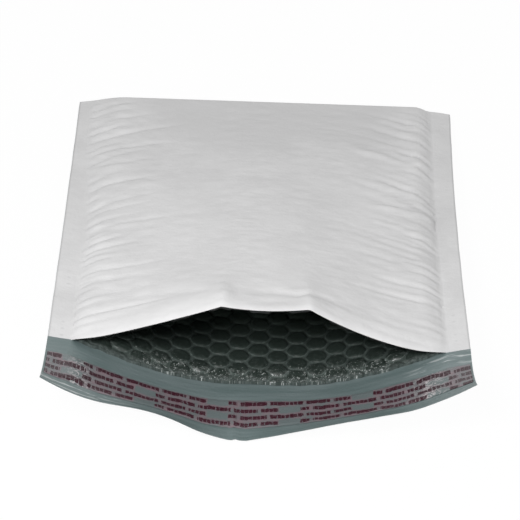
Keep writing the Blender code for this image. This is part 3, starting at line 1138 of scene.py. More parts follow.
@dataclass(frozen=True)
class BubbleFilm:
    """The lining: nearly black cells between thin paler webs, crushed and pale at the cut edge, with painted
    glints, painted light and shade, and a painted shadow under the lip.

    Its distances from the webs and from the cut edge are in millimetres.
    """

    cell: Colour = (0.020, 0.028, 0.024)
    # Painted light: the cells turn lighter deeper down the pouch
    painted_light_deep_cell: Colour = (0.095, 0.127, 0.107)
    painted_light_deep_span: Span = Span(36.0, 80.0)
    # Painted shadow: the lining of the front panel turns nearly black near the lip
    painted_shadow_under_lip: Colour = (0.005, 0.007, 0.006)
    painted_shadow_under_lip_span: Span = Span(440.0, 520.0)
    web: Colour = (0.094, 0.116, 0.107)
    web_edge: Span = Span(0.72, 1.08)
    web_wander: Grain = Grain(260.0, 260.0)
    web_wander_reach: float = 0.6
    web_level: Span = Span(0.55, 1.0)
    # Painted highlight: a brighter line along each web
    web_highlight_line: float = 0.55
    web_highlight_line_width: Span = Span(0.0, 0.30)
    web_clouds: Span = Span(0.30, 0.60)
    web_cloud_level: Span = Span(0.45, 1.0)
    # Painted shade: the webs dim deeper down the pouch
    web_painted_shade: Span = Span(20.0, 75.0)
    web_painted_shade_level: Span = Span(1.0, 0.45)
    clouds: Grain = Grain(420.0, 420.0, 4.0, 0.7)
    milky: float = 0.30
    milky_clouds: Span = Span(0.45, 0.75)
    milky_fade: Span = Span(12.0, 50.0)
    crushed: Colour = (0.105, 0.128, 0.122)
    crushed_wander: float = 6.0
    crushed_span: Span = Span(3.2, 6.8)
    crushed_clouds: Span = Span(0.35, 0.7)
    crushed_level: Span = Span(0.25, 1.0)
    # Painted glints: bright wisps, thick at the cut edge and few further in
    painted_glint: Colour = (0.74, 0.78, 0.76)
    sparkle_middle: float = 0.004
    sparkle_aside: Span = Span(0.060, 0.080)
    sparkle_reach: Span = Span(1.0, 30.0)
    wisps: Grain = Grain(760.0, 760.0, 3.0, 0.6)
    wisp_width: Span = Span(0.004, 0.026)
    thinning: Grain = Grain(640.0, 640.0, 3.0, 0.7)
    thinning_near_cut: float = 0.13
    thinning_span: Span = Span(0.64, 0.74)
    thinning_level: Span = Span(0.15, 1.0)
    roughness: Span = Span(0.22, 0.47)
    specular: float = 0.45
    crinkle: Grain = Grain(700.0, 700.0, 4.0, 0.65)
    crinkle_level: Span = Span(0.25, 1.15)
    swells: Grain = Grain(180.0, 180.0)
    swell_share: float = 0.15
    relief: float = 0.0007

    def webs(self, shader: Shader, edge: Value, clouds: Value) -> Value:
        """Milky webs round the cells, with a painted highlight in a line along each, dimmed by painted shade
        down the pouch.

        Args:
            shader: The material's nodes.
            edge: Distance from the cut edge.
            clouds: The film's cloudiness.

        Returns:
            How much of the webs' colour shows.
        """
        ring = shader.stored("from_web") * MILLIMETRES
        web = (ring + self.web_wander_reach * shader.grain(self.web_wander)).fall(self.web_edge)
        web = web * clouds.rise(self.web_clouds).pick(self.web_cloud_level)
        # Painted shade dims the webs down the pouch
        web = web * edge.rise(self.web_painted_shade).pick(self.web_painted_shade_level)
        # Painted highlight in a line along each web
        line = ring.distance_to(self.web_highlight_line).fall(self.web_highlight_line_width)
        milky = self.milky * clouds.rise(self.milky_clouds) * edge.fall(self.milky_fade)
        return web * line.pick(self.web_level) + milky

    def glints(self, shader: Shader, edge: Value) -> Value:
        """Painted glints: bright wisps, thick at the cut edge and few elsewhere.

        Args:
            shader: The material's nodes.
            edge: Distance from the cut edge.

        Returns:
            A mask of the wisps.
        """
        across, _ = shader.flat()
        beside = across.distance_to(self.sparkle_middle).fall(self.sparkle_aside)
        reach = edge.fall(self.sparkle_reach) * beside
        wisps = shader.grain(self.wisps).distance_to(NOISE_MIDDLE).fall(self.wisp_width)
        fewer = shader.grain(self.thinning) + self.thinning_near_cut * reach
        return wisps * fewer.rise(self.thinning_span) * reach.pick(self.thinning_level)

    def material(self) -> bpy.types.Material:
        """Makes the material.

        Returns:
            The material.
        """
        shader = Shader.of_material("bubble_film_inside")
        edge = shader.stored("from_cut") * MILLIMETRES
        clouds = shader.grain(self.clouds)
        # Painted light on the cells deeper down
        base = shader.mix(edge.rise(self.painted_light_deep_span), self.cell, self.painted_light_deep_cell)
        base = shader.mix(self.webs(shader, edge, clouds), base, self.web)
        near_cut = (edge + self.crushed_wander * clouds).fall(self.crushed_span)
        crushed = near_cut * clouds.rise(self.crushed_clouds).pick(self.crushed_level)
        base = shader.mix(crushed, base, self.crushed)
        # Painted glints
        base = shader.mix(self.glints(shader, edge), base, self.painted_glint)
        height = shader.grain(self.crinkle) * near_cut.pick(self.crinkle_level)
        height = height + self.swell_share * shader.grain(self.swells)
        return shader.finish({
            # Painted shadow under the lip
            "Base Color": shader.mix(edge.rise(self.painted_shadow_under_lip_span), base, self.painted_shadow_under_lip),
            "Roughness": clouds.pick(self.roughness),
            "Specular IOR Level": self.specular,
            "Normal": shader.bump(height, self.relief),
        })


@dataclass(frozen=True)
class TackyStrip:
    """The adhesive, a cloudy yellowish smear."""

    colour: Colour = (0.42, 0.41, 0.36)
    smear: Colour = (0.33, 0.33, 0.30)
    smears: Grain = Grain(40.0, 420.0, 3.0, 0.6)
    roughness: Span = Span(0.18, 0.38)
    relief: float = 0.0002

    def material(self) -> bpy.types.Material:
        """Makes the material.

        Returns:
            The material.
        """
        shader = Shader.of_material("tacky_strip")
        smears = shader.grain(self.smears)
        return shader.finish({
            "Base Color": shader.mix(smears, self.smear, self.colour),
            "Roughness": smears.pick(self.roughness),
            "Normal": shader.bump(smears, self.relief),
        })


@dataclass(frozen=True)
class LinerFilm:
    """The release liner: a thin glossy film with four rows of plain dark red blocks.

    The blocks stand in words and the words in runs. The places of the words are shares of a run's
    period, and every other row is moved by half of that period.
    """

    clear: Colour = (0.125, 0.150, 0.152)
    haze: Colour = (0.190, 0.135, 0.152)
    pale: Colour = (0.420, 0.400, 0.405)
    ink: Colour = (0.043, 0.008, 0.016)
    end_ink: Colour = (0.020, 0.000, 0.005)
    end_span: Span = Span(0.060, 0.096)
    rows: int = 4
    row_pitch: float = 0.0061
    first_row: float = 0.0029
    mark_height: float = 0.0036
    mark_level: float = 0.80
    mark_chance: float = 0.22
    bolder: float = 0.16
    bolder_span: Span = Span(0.072, 0.096)
    run_length: float = 0.063
    run_period: float = 0.0735
    run_start: float = -0.0148
    block_pitch: float = 0.00208
    block_share: float = 0.80
    block_chance: float = 0.20
    word_starts: tuple[float, ...] = (0.0, 0.085, 0.29, 0.54, 0.73)
    word_ends: tuple[float, ...] = (0.061, 0.266, 0.516, 0.706, 0.845)
    jitter: Grain = Grain(620.0, 620.0, 3.0)
    jitter_across: float = 0.0014
    jitter_down: float = 0.0016
    rolling: Grain = Grain(95.0, 33.25)
    rolling_down: float = 0.0034
    clouds: Grain = Grain(170.0, 170.0, 4.0, 0.65)
    haze_clouds: Span = Span(0.25, 0.75)
    crumple_clouds: Span = Span(0.42, 0.62)
    crumple_cloud_share: float = 0.15
    wisps: Grain = Grain(330.0, 330.0)
    wisp_width: Span = Span(0.012, 0.055)
    wisp_share: float = 0.85
    wear: Grain = Grain(900.0, 900.0, 3.0, 0.6)
    wear_span: Span = Span(0.50, 0.62)
    ink_level: Span = Span(1.0, 0.76)
    roughness: Span = Span(0.24, 0.46)
    specular: float = 0.30
    crinkle: Grain = Grain(420.0, 630.0, 4.0, 0.65)
    crinkle_level: Span = Span(0.5, 1.7)
    relief: float = 0.0006

    def words(self, shader: Shader, place: Value) -> Value:
        """Where the words of a run are.

        Args:
            shader: The material's nodes.
            place: How far along the run's period a point is, from 0 to 1.

        Returns:
            A mask of the words.
        """
        stops = []
        for start, end in zip(self.word_starts, self.word_ends):
            stops += [(start, WHITE), (end, BLACK)]
        return shader.node("ShaderNodeValToRGB", {"stops": stops}, {0: place})

    def printed(self, shader: Shader, across: Value, down: Value) -> tuple[Value, Value]:
        """Where the blocks are.

        Args:
            shader: The material's nodes.
            across: Distance across the web.
            down: Distance down the liner from its edge at the mouth.

        Returns:
            A mask of the blocks, and one of the runs that they stand in.
        """
        row = ((down - self.first_row) / self.row_pitch + 0.5).floor()
        block = across / self.block_pitch
        key = shader.node("ShaderNodeCombineXYZ", {}, {0: block.floor(), 1: row})
        chance = shader.node("ShaderNodeTexWhiteNoise", {"noise_dimensions": "2D"}, {"Vector": key}, "Value")
        off_row = (down - self.first_row - row * self.row_pitch).distance_to(0.0)
        bolder = self.bolder * across.distance_to(0.0).rise(self.bolder_span)
        reach = (self.mark_level + self.mark_chance * chance + bolder) * (self.mark_height / 2)
        in_row = (off_row < reach) * (row > -0.5) * (row < self.rows - 0.5)
        moved = (row / 2.0 - (row / 2.0).floor()) * self.run_period
        place = (across - self.run_start + moved).wrapped(self.run_period) / self.run_period
        in_block = block.wrapped(1.0) < self.block_share + self.block_chance * chance
        in_run = place < self.run_length / self.run_period
        return in_row * self.words(shader, place) * in_block * in_run, in_run

    def material(self) -> bpy.types.Material:
        """Makes the material.

        Returns:
            The material.
        """
        shader = Shader.of_material("release_liner_film")
        jitter = shader.grain(self.jitter) - NOISE_MIDDLE
        across = shader.flat()[0] + jitter * self.jitter_across
        down = shader.stored("down") + jitter * self.jitter_down
        down = down + (shader.grain(self.rolling) - NOISE_MIDDLE) * self.rolling_down
        blocks, runs = self.printed(shader, across, down)
        clouds, crush = shader.grain(self.clouds), shader.stored("crush")
        base = shader.mix(runs * clouds.rise(self.haze_clouds), self.clear, self.haze)
        wisps = shader.grain(self.wisps).distance_to(NOISE_MIDDLE).fall(self.wisp_width)
        whitened = self.wisp_share * wisps + self.crumple_cloud_share * clouds.rise(self.crumple_clouds)
        base = shader.mix(crush * whitened, base, self.pale)
        ink = shader.mix(across.distance_to(0.0).rise(self.end_span), self.ink, self.end_ink)
        inked = blocks * shader.grain(self.wear).rise(self.wear_span).pick(self.ink_level)
        return shader.finish({
            "Base Color": shader.mix(inked, base, ink),
            "Roughness": clouds.pick(self.roughness),
            "Specular IOR Level": self.specular,
            "Normal": shader.bump(shader.grain(self.crinkle) * crush.pick(self.crinkle_level), self.relief),
        })


class Skin(Enum):
    """The two faces of a film, by the number of their material on the mesh."""

    OUTSIDE = 0
    INSIDE = 1


def name_attribute(mesh: bpy.types.Mesh, name: str, values: Array) -> None:
    """Stores numbers or vectors on a mesh's points for its material.

    Args:
        mesh: The mesh.
        name: The attribute's name.
        values: One number or one vector for each point.
    """
    kind, key = ("FLOAT_VECTOR", "vector") if values.ndim == 2 else ("FLOAT", "value")
    made = mesh.attributes.new(name, kind, "POINT")
    made.data.foreach_set(key, np.ascontiguousarray(values, dtype=np.float32).ravel())


def add_piece(
    name: str, mesh: bpy.types.Mesh, finishes: Sequence[bpy.types.Material], node: str
) -> bpy.types.Object:
    """Places a finished mesh in the scene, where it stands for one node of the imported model.

    Args:
        name: The piece's name.
        mesh: Its mesh.
        finishes: Its materials, in the order of their numbers on the mesh.
        node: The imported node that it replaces.

    Returns:
        The new object.
    """
    for finish in finishes:
        mesh.materials.append(finish)
    mesh.shade_smooth()
    mesh.set_sharp_from_angle(angle=SHARP_ANGLE)
    piece = bpy.data.objects.new(name, mesh)
    bpy.context.scene.collection.objects.link(piece)
    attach(piece, "root")
    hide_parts(node)
    return piece


@dataclass(frozen=True)
class FlatGrid:
    """A grid of places on the flat web, as two arrays with a row for each step along it."""

    across: Array
    along: Array

    @classmethod
    def of(cls, columns: Array, rows: Array) -> "FlatGrid":
        """Crosses columns with rows."""
        return cls(*np.meshgrid(columns, rows))

    def slab(self, name: str, outer: Array, inner: Array) -> bpy.types.Mesh:
        """Makes a closed sheet of an outer and an inner skin joined at its rim.

        Args:
            name: The mesh's name.
            outer: Places of the outer skin's points.
            inner: Places of the inner skin's points.

        Returns:
            The mesh, with the outer skin and the rim in the first material.
        """
        rows, columns = self.across.shape
        index = np.arange(rows * columns).reshape(rows, columns)
        quads = np.stack([index[:-1, :-1], index[:-1, 1:], index[1:, 1:], index[1:, :-1]], -1)
        quads = quads.reshape(-1, 4)
        shift = rows * columns
        rim = np.concatenate([index[0, :], index[1:, -1], index[-1, -2::-1], index[-2:0:-1, 0]])
        after = np.roll(rim, -1)
        band = np.stack([after, rim, rim + shift, after + shift], -1)
        faces = np.concatenate([quads, band, quads[:, [0, 3, 2, 1]] + shift])
        points = np.concatenate([outer.reshape(-1, 3), inner.reshape(-1, 3)])
        mesh = bpy.data.meshes.new(name)
        mesh.from_pydata(points.tolist(), [], faces.tolist())
        numbers = np.full(len(faces), Skin.OUTSIDE.value, dtype=np.int32)
        numbers[len(quads) + len(band):] = Skin.INSIDE.value
        mesh.polygons.foreach_set("material_index", numbers)
        flat = np.stack([self.across, self.along, np.zeros_like(self.across)], -1).reshape(-1, 3)
        name_attribute(mesh, "flat", np.concatenate([flat, flat]))
        return mesh


@dataclass(frozen=True)
class FilmBag:
    """The film: front panel, bottom fold, back panel, welded bands and flap, in one web."""

    form: MailerForm
    relief: FilmRelief
    thickness: float = 0.00022
    column_step: float = 0.0019
    front_step: float = 0.00112
    back_step: float = 0.0050
    flap_step: float = 0.0012
    fold_steps: int = 14
    band_steps: int = 8
    lip_rows: tuple[float, ...] = (0.0, 0.0003, 0.0007)
    shortest_normal: float = 1e-9

    def columns(self) -> Array:
        """Places across the web, with the seal lines among them.

        Returns:
            The places, from left to right.
        """
        line, half = self.form.seal_line, self.form.sheet_half
        band = np.linspace(line, half, self.band_steps + 1)[1:]
        middle = np.linspace(-line, line, round(2 * line / self.column_step) + 1)
        return np.concatenate([-band[::-1], middle, band])

    def rows(self) -> Array:
        """Places along the web, with the mouth, the fold's ends and the flap's edge among them.

        Returns:
            The places, from the lip to the flap's edge.
        """
        form = self.form
        stretches = [
            (0.0, form.fold_start, round(form.fold_start / self.front_step)),
            (form.fold_start, form.back_start, self.fold_steps),
            (form.back_start, form.mouth, round(form.fold_start / self.back_step)),
            (form.mouth, form.web_end, round(form.flap_length / self.flap_step)),
        ]
        spaced = (np.linspace(start, end, count + 1)[1:] for start, end, count in stretches)
        return np.concatenate([self.lip_rows, *spaced])

    def build(self) -> list[bpy.types.Object]:
        """Builds the film with its wrinkles and dresses it.

        Returns:
            The piece.
        """
        form = self.form
        grid = FlatGrid.of(self.columns(), self.rows())
        plain = form.folded(grid.across, grid.along, 0.0)
        facing = np.cross(np.gradient(plain, axis=1), np.gradient(plain, axis=0))
        facing /= np.maximum(np.linalg.norm(facing, axis=-1, keepdims=True), self.shortest_normal)
        raised = facing * self.relief.height(grid.across, grid.along)[..., None]
        welded = (np.abs(grid.across) >= form.seal_line) & (grid.along < form.mouth)
        inner_half = np.where(welded, 0.0, self.thickness / 2)
        outer = form.folded(grid.across, grid.along, -self.thickness / 2) + raised
        inner = form.folded(grid.across, grid.along, inner_half) + raised
        for skin in (outer, inner):
            skin[..., 2] = np.maximum(skin[..., 2], 0.0)
        mesh = grid.slab("film_bag", outer, inner)
        finishes = [WhiteFilm().material(), GreyFilm(form).material()]
        return [add_piece("film_bag", mesh, finishes, "outer_film")]


@dataclass(frozen=True)
class BubbleLining:
    """The bubble film: one web of cells in hexagonal packing, folded with the bag."""

    form: MailerForm
    insets: tuple[float, ...] = (0.0, 0.00045, 0.0008, 0.0014, 0.0024)
    heights: tuple[float, ...] = (0.0, 0.00005, 0.0004, 0.0009, 0.0011)
    roundness: tuple[float, ...] = (0.0, 0.30, 0.55, 0.70, 0.80)
    top_rise: float = 0.0001
    top_slack: float = 0.0007
    slack_tops: Ruffle = Ruffle(83, (1 / 90, 1 / 90))
    first_row: float = 0.35
    corner_cut: float = 0.00012
    corners_near: int = 24
    corners_far: int = 12
    near_back: float = 0.100
    near_front: float = 0.055
    relief: float = 0.0011
    weld: float = 0.00002
    rim_reach: float = 0.00005
    crushed_depth: float = 0.009
    crushed_share: float = 0.30
    crinkle: float = 0.0006
    crinkle_level: float = 0.5
    crinkle_fade: Span = Span(0.004, 0.016)
    crinkles: tuple[Ruffle, ...] = (
        Ruffle(37, (0.0031, 0.0026)),
        Ruffle(37, (0.0014, 0.0012), (9.0, 0.0), 0.6),
    )
    ragged: Ruffle = Ruffle(37, (0.0065, 0.020), (3.0, 0.0), 0.0009)
    ragged_reach: float = 0.008
    cut_back: float = 0.0009
    rim_lift: float = 0.0008
    rim_height: float = 0.0001
    sealed_rim: float = 0.001

    COLUMN_STEP = 1.5 * BUBBLE_PITCH / math.sqrt(3)
    HALF_CELL = BUBBLE_PITCH / 2
    # Height that marks the points of the turned down rim until the web is folded
    RIM_MARK = -1.0

    def row_start(self, column: Array) -> Array:
        """Place along the web of the first bubble of a column, near the mouth."""
        return self.form.mouth - BUBBLE_PITCH * (0.5 * np.mod(column, 2) + self.first_row)

    def centres(self) -> Array:
        """Centres of the cells that cover the flat web, counted back from the mouth.

        Returns:
            One row for each cell, with its place across and along the web.
        """
        form = self.form
        count = math.ceil((form.lining_half + self.HALF_CELL) / self.COLUMN_STEP)
        rows = np.arange(-1, math.ceil((form.mouth - form.lining_lip_gap) / BUBBLE_PITCH) + 1)
        columns = np.repeat(np.arange(-count, count + 1), len(rows))
        along = self.row_start(columns) - BUBBLE_PITCH * np.tile(rows, 2 * count + 1)
        return np.stack([columns * self.COLUMN_STEP, along], -1)

    def from_web(self, across: Array, along: Array) -> Array:
        """Distance of a place from the middle of the nearest web.

        Args:
            across: Places across the web.
            along: Places along it.

        Returns:
            Distances.
        """
        best = np.zeros(across.shape)
        for offset in (-1, 0, 1):
            column = np.round(across / self.COLUMN_STEP) + offset
            start = self.row_start(column)
            row = np.round((start - along) / BUBBLE_PITCH)
            dx, dy = across - column * self.COLUMN_STEP, along - (start - row * BUBBLE_PITCH)
            turns = (math.pi / 6, -math.pi / 6)
            slanted = [np.abs(dx * math.cos(turn) + dy * math.sin(turn)) for turn in turns]
            reach = np.max([np.abs(dy), *slanted], axis=0)
            corner = self.HALF_CELL + self.corner_cut - np.hypot(dx, dy)
            best = np.maximum(best, np.minimum(self.HALF_CELL - reach, corner))
        return best

    def cell(self, corners: int, rings: Sequence[int]) -> tuple[Array, Array]:
        """Points and faces of one cell, with the middle of its top as the last point.

        Args:
            corners: How many points each ring has.
            rings: Which of the rings are made.

        Returns:
            The points, with their height above the web, and the faces with -1 for no fourth point.
        """
        turn = np.arange(corners) * 2 * np.pi / corners
        bent = np.mod(turn, np.pi / 3) - np.pi / 6
        here = np.arange(corners)
        after = np.roll(here, -1)
        points, faces = [], []
        for step, ring in enumerate(rings):
            flat_reach = self.HALF_CELL - self.insets[ring]
            reach = flat_reach / np.cos(bent) * (1 - self.roundness[ring]) + flat_reach * self.roundness[ring]
            height = np.full(corners, self.heights[ring])
            points.append(np.stack([reach * np.cos(turn), reach * np.sin(turn), height], -1))
            low, high = step * corners, (step + 1) * corners
            if ring != rings[-1]:
                faces.append(np.stack([here + low, after + low, after + high, here + high], -1))
            else:
                top, none = np.full(corners, high), np.full(corners, -1)
                faces.append(np.stack([here + low, after + low, top, none], -1))
        middle = [[0.0, 0.0, self.heights[rings[-1]] + self.top_rise]]
        return np.concatenate([*points, middle]), np.concatenate(faces)

    def cells(self, centres: Array, corners: int, rings: Sequence[int]) -> tuple[Array, Array]:
        """Points and faces of the cells around their centres, with their tops more or less slack.

        Args:
            centres: The cells' centres.
            corners: How many points each ring has.
            rings: Which of the rings are made.

        Returns:
            The points, with their height above the web, and the faces with -1 for no fourth point.
        """
        shape, cell = self.cell(corners, rings)
        moved = np.concatenate([centres, np.zeros((len(centres), 1))], -1)
        points = moved[:, None, :] + shape[None, :, :]
        slack = 0.5 + 0.5 * self.slack_tops.at(centres[:, 0], centres[:, 1])
        points[:, -1, 2] -= self.top_slack * slack
        shift = np.arange(len(centres))[:, None, None] * len(shape)
        faces = np.where(cell[None] < 0, -1, cell[None] + shift)
        return points.reshape(-1, 3), faces.reshape(-1, 4)

    def outline(self) -> list[tuple[int, float, int]]:
        """The web's four edges: the axis that each cuts, its place, and which way is outside."""
        half, lip, mouth = self.form.lining_half, self.form.lining_lip_gap, self.form.mouth
        return [(0, half, 1), (0, -half, -1), (1, lip, -1), (1, mouth, 1)]

    def flat_mesh(self) -> bmesh.types.BMesh:
        """Lays all the cells flat, welds them, and cuts the web to size.

        Returns:
            The flat web.
        """
        centres = self.centres()
        near = (centres[:, 1] > self.form.mouth - self.near_back) | (centres[:, 1] < self.near_front)
        rings = list(range(len(self.insets)))
        fine, fine_faces = self.cells(centres[near], self.corners_near, rings)
        coarse, coarse_faces = self.cells(centres[~near], self.corners_far, rings[::2])
        coarse_faces = np.where(coarse_faces < 0, -1, coarse_faces + len(fine))
        all_faces = np.concatenate([fine_faces, coarse_faces])
        faces = [[int(point) for point in face if point >= 0] for face in all_faces]
        mesh = bpy.data.meshes.new("cells_laid_flat")
        mesh.from_pydata(np.concatenate([fine, coarse]).tolist(), [], faces)
        sheet = bmesh.new()
        sheet.from_mesh(mesh)
        bpy.data.meshes.remove(mesh)
        bmesh.ops.remove_doubles(sheet, verts=sheet.verts, dist=self.weld)
        for axis, place, outside in self.outline():
            point, outward = [0.0, 0.0, 0.0], [0.0, 0.0, 0.0]
            point[axis], outward[axis] = place, outside
            bmesh.ops.bisect_plane(
                sheet, geom=sheet.verts[:] + sheet.edges[:] + sheet.faces[:], dist=self.weld,
                plane_co=point, plane_no=outward, clear_outer=True,
            )
        return sheet

    def turn_down_rim(self, sheet: bmesh.types.BMesh) -> None:
        """Turns the web's cut edges down to the film.

        Args:
            sheet: The flat web.
        """
        rim = [edge for edge in sheet.edges if edge.is_boundary and self.on_rim(edge)]
        made = bmesh.ops.extrude_edge_only(sheet, edges=rim)["geom"]
        for vert in (item for item in made if isinstance(item, bmesh.types.BMVert)):
            vert.co.z = self.RIM_MARK

    def on_rim(self, edge: bmesh.types.BMEdge) -> bool:
        """Whether an edge lies on the outline of the web.

        Args:
            edge: The edge.

        Returns:
            Whether both its points do.
        """
        return any(
            all(abs(vert.co[axis] - place) < self.rim_reach for vert in edge.verts)
            for axis, place, _ in self.outline()
        )

    def inside(self, across: Array, along: Array, rise: Array) -> Array:
        """Heights of the lining's points above the film.

        Args:
            across: Places across the web.
            along: Places along it.
            rise: Heights above the flat web, or the mark of the rim.

        Returns:
            Heights, crushed and crinkled at the cut edge.
        """
        form = self.form
        from_cut = form.mouth - along
        kept = self.crushed_share + (1 - self.crushed_share) * smooth(from_cut / self.crushed_depth)
        uneven = self.crinkle_level + sum(layer.at(across, along) for layer in self.crinkles)
        height = form.lining_base + (form.lining - self.relief + rise) * kept
        height += self.crinkle * self.crinkle_fade.fall(from_cut) * uneven
        room = (form.room_between(across, form.depth_of(along)) - form.cavity_slit) / 2
        base = form.lining_base + self.rim_lift
        height = np.maximum(np.minimum(height, room), base + self.rim_height)
        rim = np.where(from_cut < self.sealed_rim, form.film / 2 + self.rim_height, base)
        return np.where(rise < self.RIM_MARK / 2, rim, height)

    def build(self) -> list[bpy.types.Object]:
        """Builds the lining and dresses it.

        Returns:
            The piece.
        """
        form = self.form
        sheet = self.flat_mesh()
        self.turn_down_rim(sheet)
        mesh = bpy.data.meshes.new("bubble_sheet")
        bmesh.ops.recalc_face_normals(sheet, faces=sheet.faces)
        sheet.to_mesh(mesh)
        sheet.free()
        flat = np.empty(3 * len(mesh.vertices), dtype=np.float32)
        mesh.vertices.foreach_get("co", flat)
        across, along, rise = flat.reshape(-1, 3).astype(float).T
        from_cut = form.mouth - along
        ragged = self.ragged.at(across, across) * (1.0 - smooth(from_cut / self.ragged_reach))
        cut = np.minimum(along + ragged - self.cut_back * (from_cut < self.ragged_reach), form.mouth)
        places = form.folded(across, cut, self.inside(across, along, rise))
        mesh.vertices.foreach_set("co", places.astype(np.float32).ravel())
        name_attribute(mesh, "flat", np.stack([across, along, np.zeros_like(across)], -1))
        name_attribute(mesh, "from_web", self.from_web(across, along))
        name_attribute(mesh, "from_cut", from_cut)
        return [add_piece("bubble_sheet", mesh, [BubbleFilm().material()], "bubble_lining")]


@dataclass(frozen=True)
class Strip:
    """A thin strip across the flap: where it lies on the web, how fine it is, and its two levels."""

    from_mouth: float
    width: float
    end_gap: float
    steps: tuple[float, float]
    low: float
    thickness: float

    @property
    def high(self) -> float:
        """Height of its upper face above the middle of the film."""
        return self.low + self.thickness


@dataclass(frozen=True)
class Closure:
    """The strip of adhesive on the flap, and the release liner over it."""

    form: MailerForm
    strip_clearance: float = 0.0001
    adhesive_width: float = 0.020
    adhesive_thickness: float = 0.00015
    adhesive_end_gap: float = 0.004
    adhesive_steps: tuple[float, float] = (0.002, 0.002)
    liner_width: float = 0.024
    liner_thickness: float = 0.00012
    liner_from_mouth: float = 0.0133
    liner_end_gap: float = 0.0012
    liner_steps: tuple[float, float] = (0.00085, 0.0008)
    liner_held: float = 0.002
    liner_waves: Ruffle = Ruffle(47, (0.016, 0.011))
    wave_height: float = 0.00015
    print_skew: float = 0.0020
    print_skew_span: Span = Span(0.045, 0.100)
    crumpled_at: tuple[tuple[float, float], ...] = ((-0.090, 0.0050), (0.086, 0.0070))
    crumple_height: float = 0.0006
    crumple: Ruffle = Ruffle(47, (0.0052, 0.0068), (5.0, 2.0))
    fine_crumple: Ruffle = Ruffle(47, (0.0024, 0.0031))
    fine_crumple_share: float = 0.5

    @property
    def adhesive(self) -> Strip:
        """The adhesive, in the middle of the liner's width and just above the film.

        Returns:
            The strip.
        """
        inset = (self.liner_width - self.adhesive_width) / 2
        return Strip(
            self.liner_from_mouth + inset, self.adhesive_width, self.adhesive_end_gap,
            self.adhesive_steps, self.form.film / 2 + self.strip_clearance, self.adhesive_thickness,
        )

    @property
    def liner(self) -> Strip:
        """The liner, just above the adhesive.

        Returns:
            The strip.
        """
        return Strip(
            self.liner_from_mouth, self.liner_width, self.liner_end_gap,
            self.liner_steps, self.adhesive.high + self.strip_clearance, self.liner_thickness,
        )

    def grid(self, strip: Strip) -> FlatGrid:
        """Lays a strip's grid on the flat web.

        Args:
            strip: The strip.

        Returns:
            The grid.
        """
        half = self.form.sheet_half - strip.end_gap
        columns = np.linspace(-half, half, round(2 * half / strip.steps[0]) + 1)
        rows = np.linspace(0.0, strip.width, round(strip.width / strip.steps[1]) + 1)
        return FlatGrid.of(columns, self.form.mouth + strip.from_mouth + rows)

    def crushed(self, across: Array) -> Array:
        """How much the liner is crumpled at a place across the web."""
        return sum(bell(across - place, width) for place, width in self.crumpled_at)

    def liner_lift(self, grid: FlatGrid) -> Array:
        """How far the liner stands up from the adhesive, in waves and crumples.

        Args:
            grid: The liner's grid.

        Returns:
            Heights, below zero at the edges, which are held down on the film.
        """
        waves = 0.5 + 0.5 * self.liner_waves.at(grid.across, grid.along)
        sharp = 1.0 - np.abs(self.crumple.at(grid.across, grid.along))
        sharp += self.fine_crumple_share * (1.0 - np.abs(self.fine_crumple.at(grid.across, grid.along)))
        down = grid.along - self.form.mouth - self.liner_from_mouth
        held = smooth(np.minimum(down, self.liner_width - down) / self.liner_held)
        loose = self.wave_height * waves + self.crumple_height * self.crushed(grid.across) * sharp**2
        return loose * held - (self.adhesive_thickness + self.strip_clearance) * (1.0 - held)

    def mesh(self, name: str, strip: Strip, lift: Union[Array, float]) -> bpy.types.Mesh:
        """Makes a strip's mesh.

        Args:
            name: The mesh's name.
            strip: The strip.
            lift: How far it stands up from its levels.

        Returns:
            The mesh.
        """
        grid = self.grid(strip)
        low, high = (
            self.form.folded(grid.across, grid.along, level + lift) for level in (strip.low, strip.high)
        )
        mesh = grid.slab(name, low, high)
        skew = self.print_skew * self.print_skew_span.rise(grid.across)
        down = (grid.along - self.form.mouth - strip.from_mouth - skew).ravel()
        crush = self.crushed(grid.across).ravel()
        name_attribute(mesh, "down", np.concatenate([down, down]))
        name_attribute(mesh, "crush", np.concatenate([crush, crush]))
        return mesh

    def build(self) -> list[bpy.types.Object]:
        """Builds both strips and dresses them.

        Returns:
            The pieces.
        """
        adhesive = self.mesh("tacky_strip", self.adhesive, 0.0)
        liner = self.mesh("liner_sheet", self.liner, self.liner_lift(self.grid(self.liner)))
        tacky, film = TackyStrip().material(), LinerFilm().material()
        return [
            add_piece("tacky_strip", adhesive, [tacky, tacky], "adhesive_strip"),
            add_piece("liner_sheet", liner, [film, film], "release_liner"),
        ]


@dataclass(frozen=True)
class SoftBox:
    """A square lamp that shines on the mailer."""

    name: str
    place: tuple[float, float, float]
    size: float
    power: float

    def build(self) -> None:
        """Hangs the lamp, turned towards the mailer."""
        lamp = bpy.data.lights.new(self.name, "AREA")
        lamp.size = self.size
        lamp.energy = self.power
        hung = bpy.data.objects.new(self.name, lamp)
        hung.location = self.place
        hung.rotation_euler = (-Vector(self.place)).to_track_quat("-Z", "Y").to_euler()
        bpy.context.scene.collection.objects.link(hung)


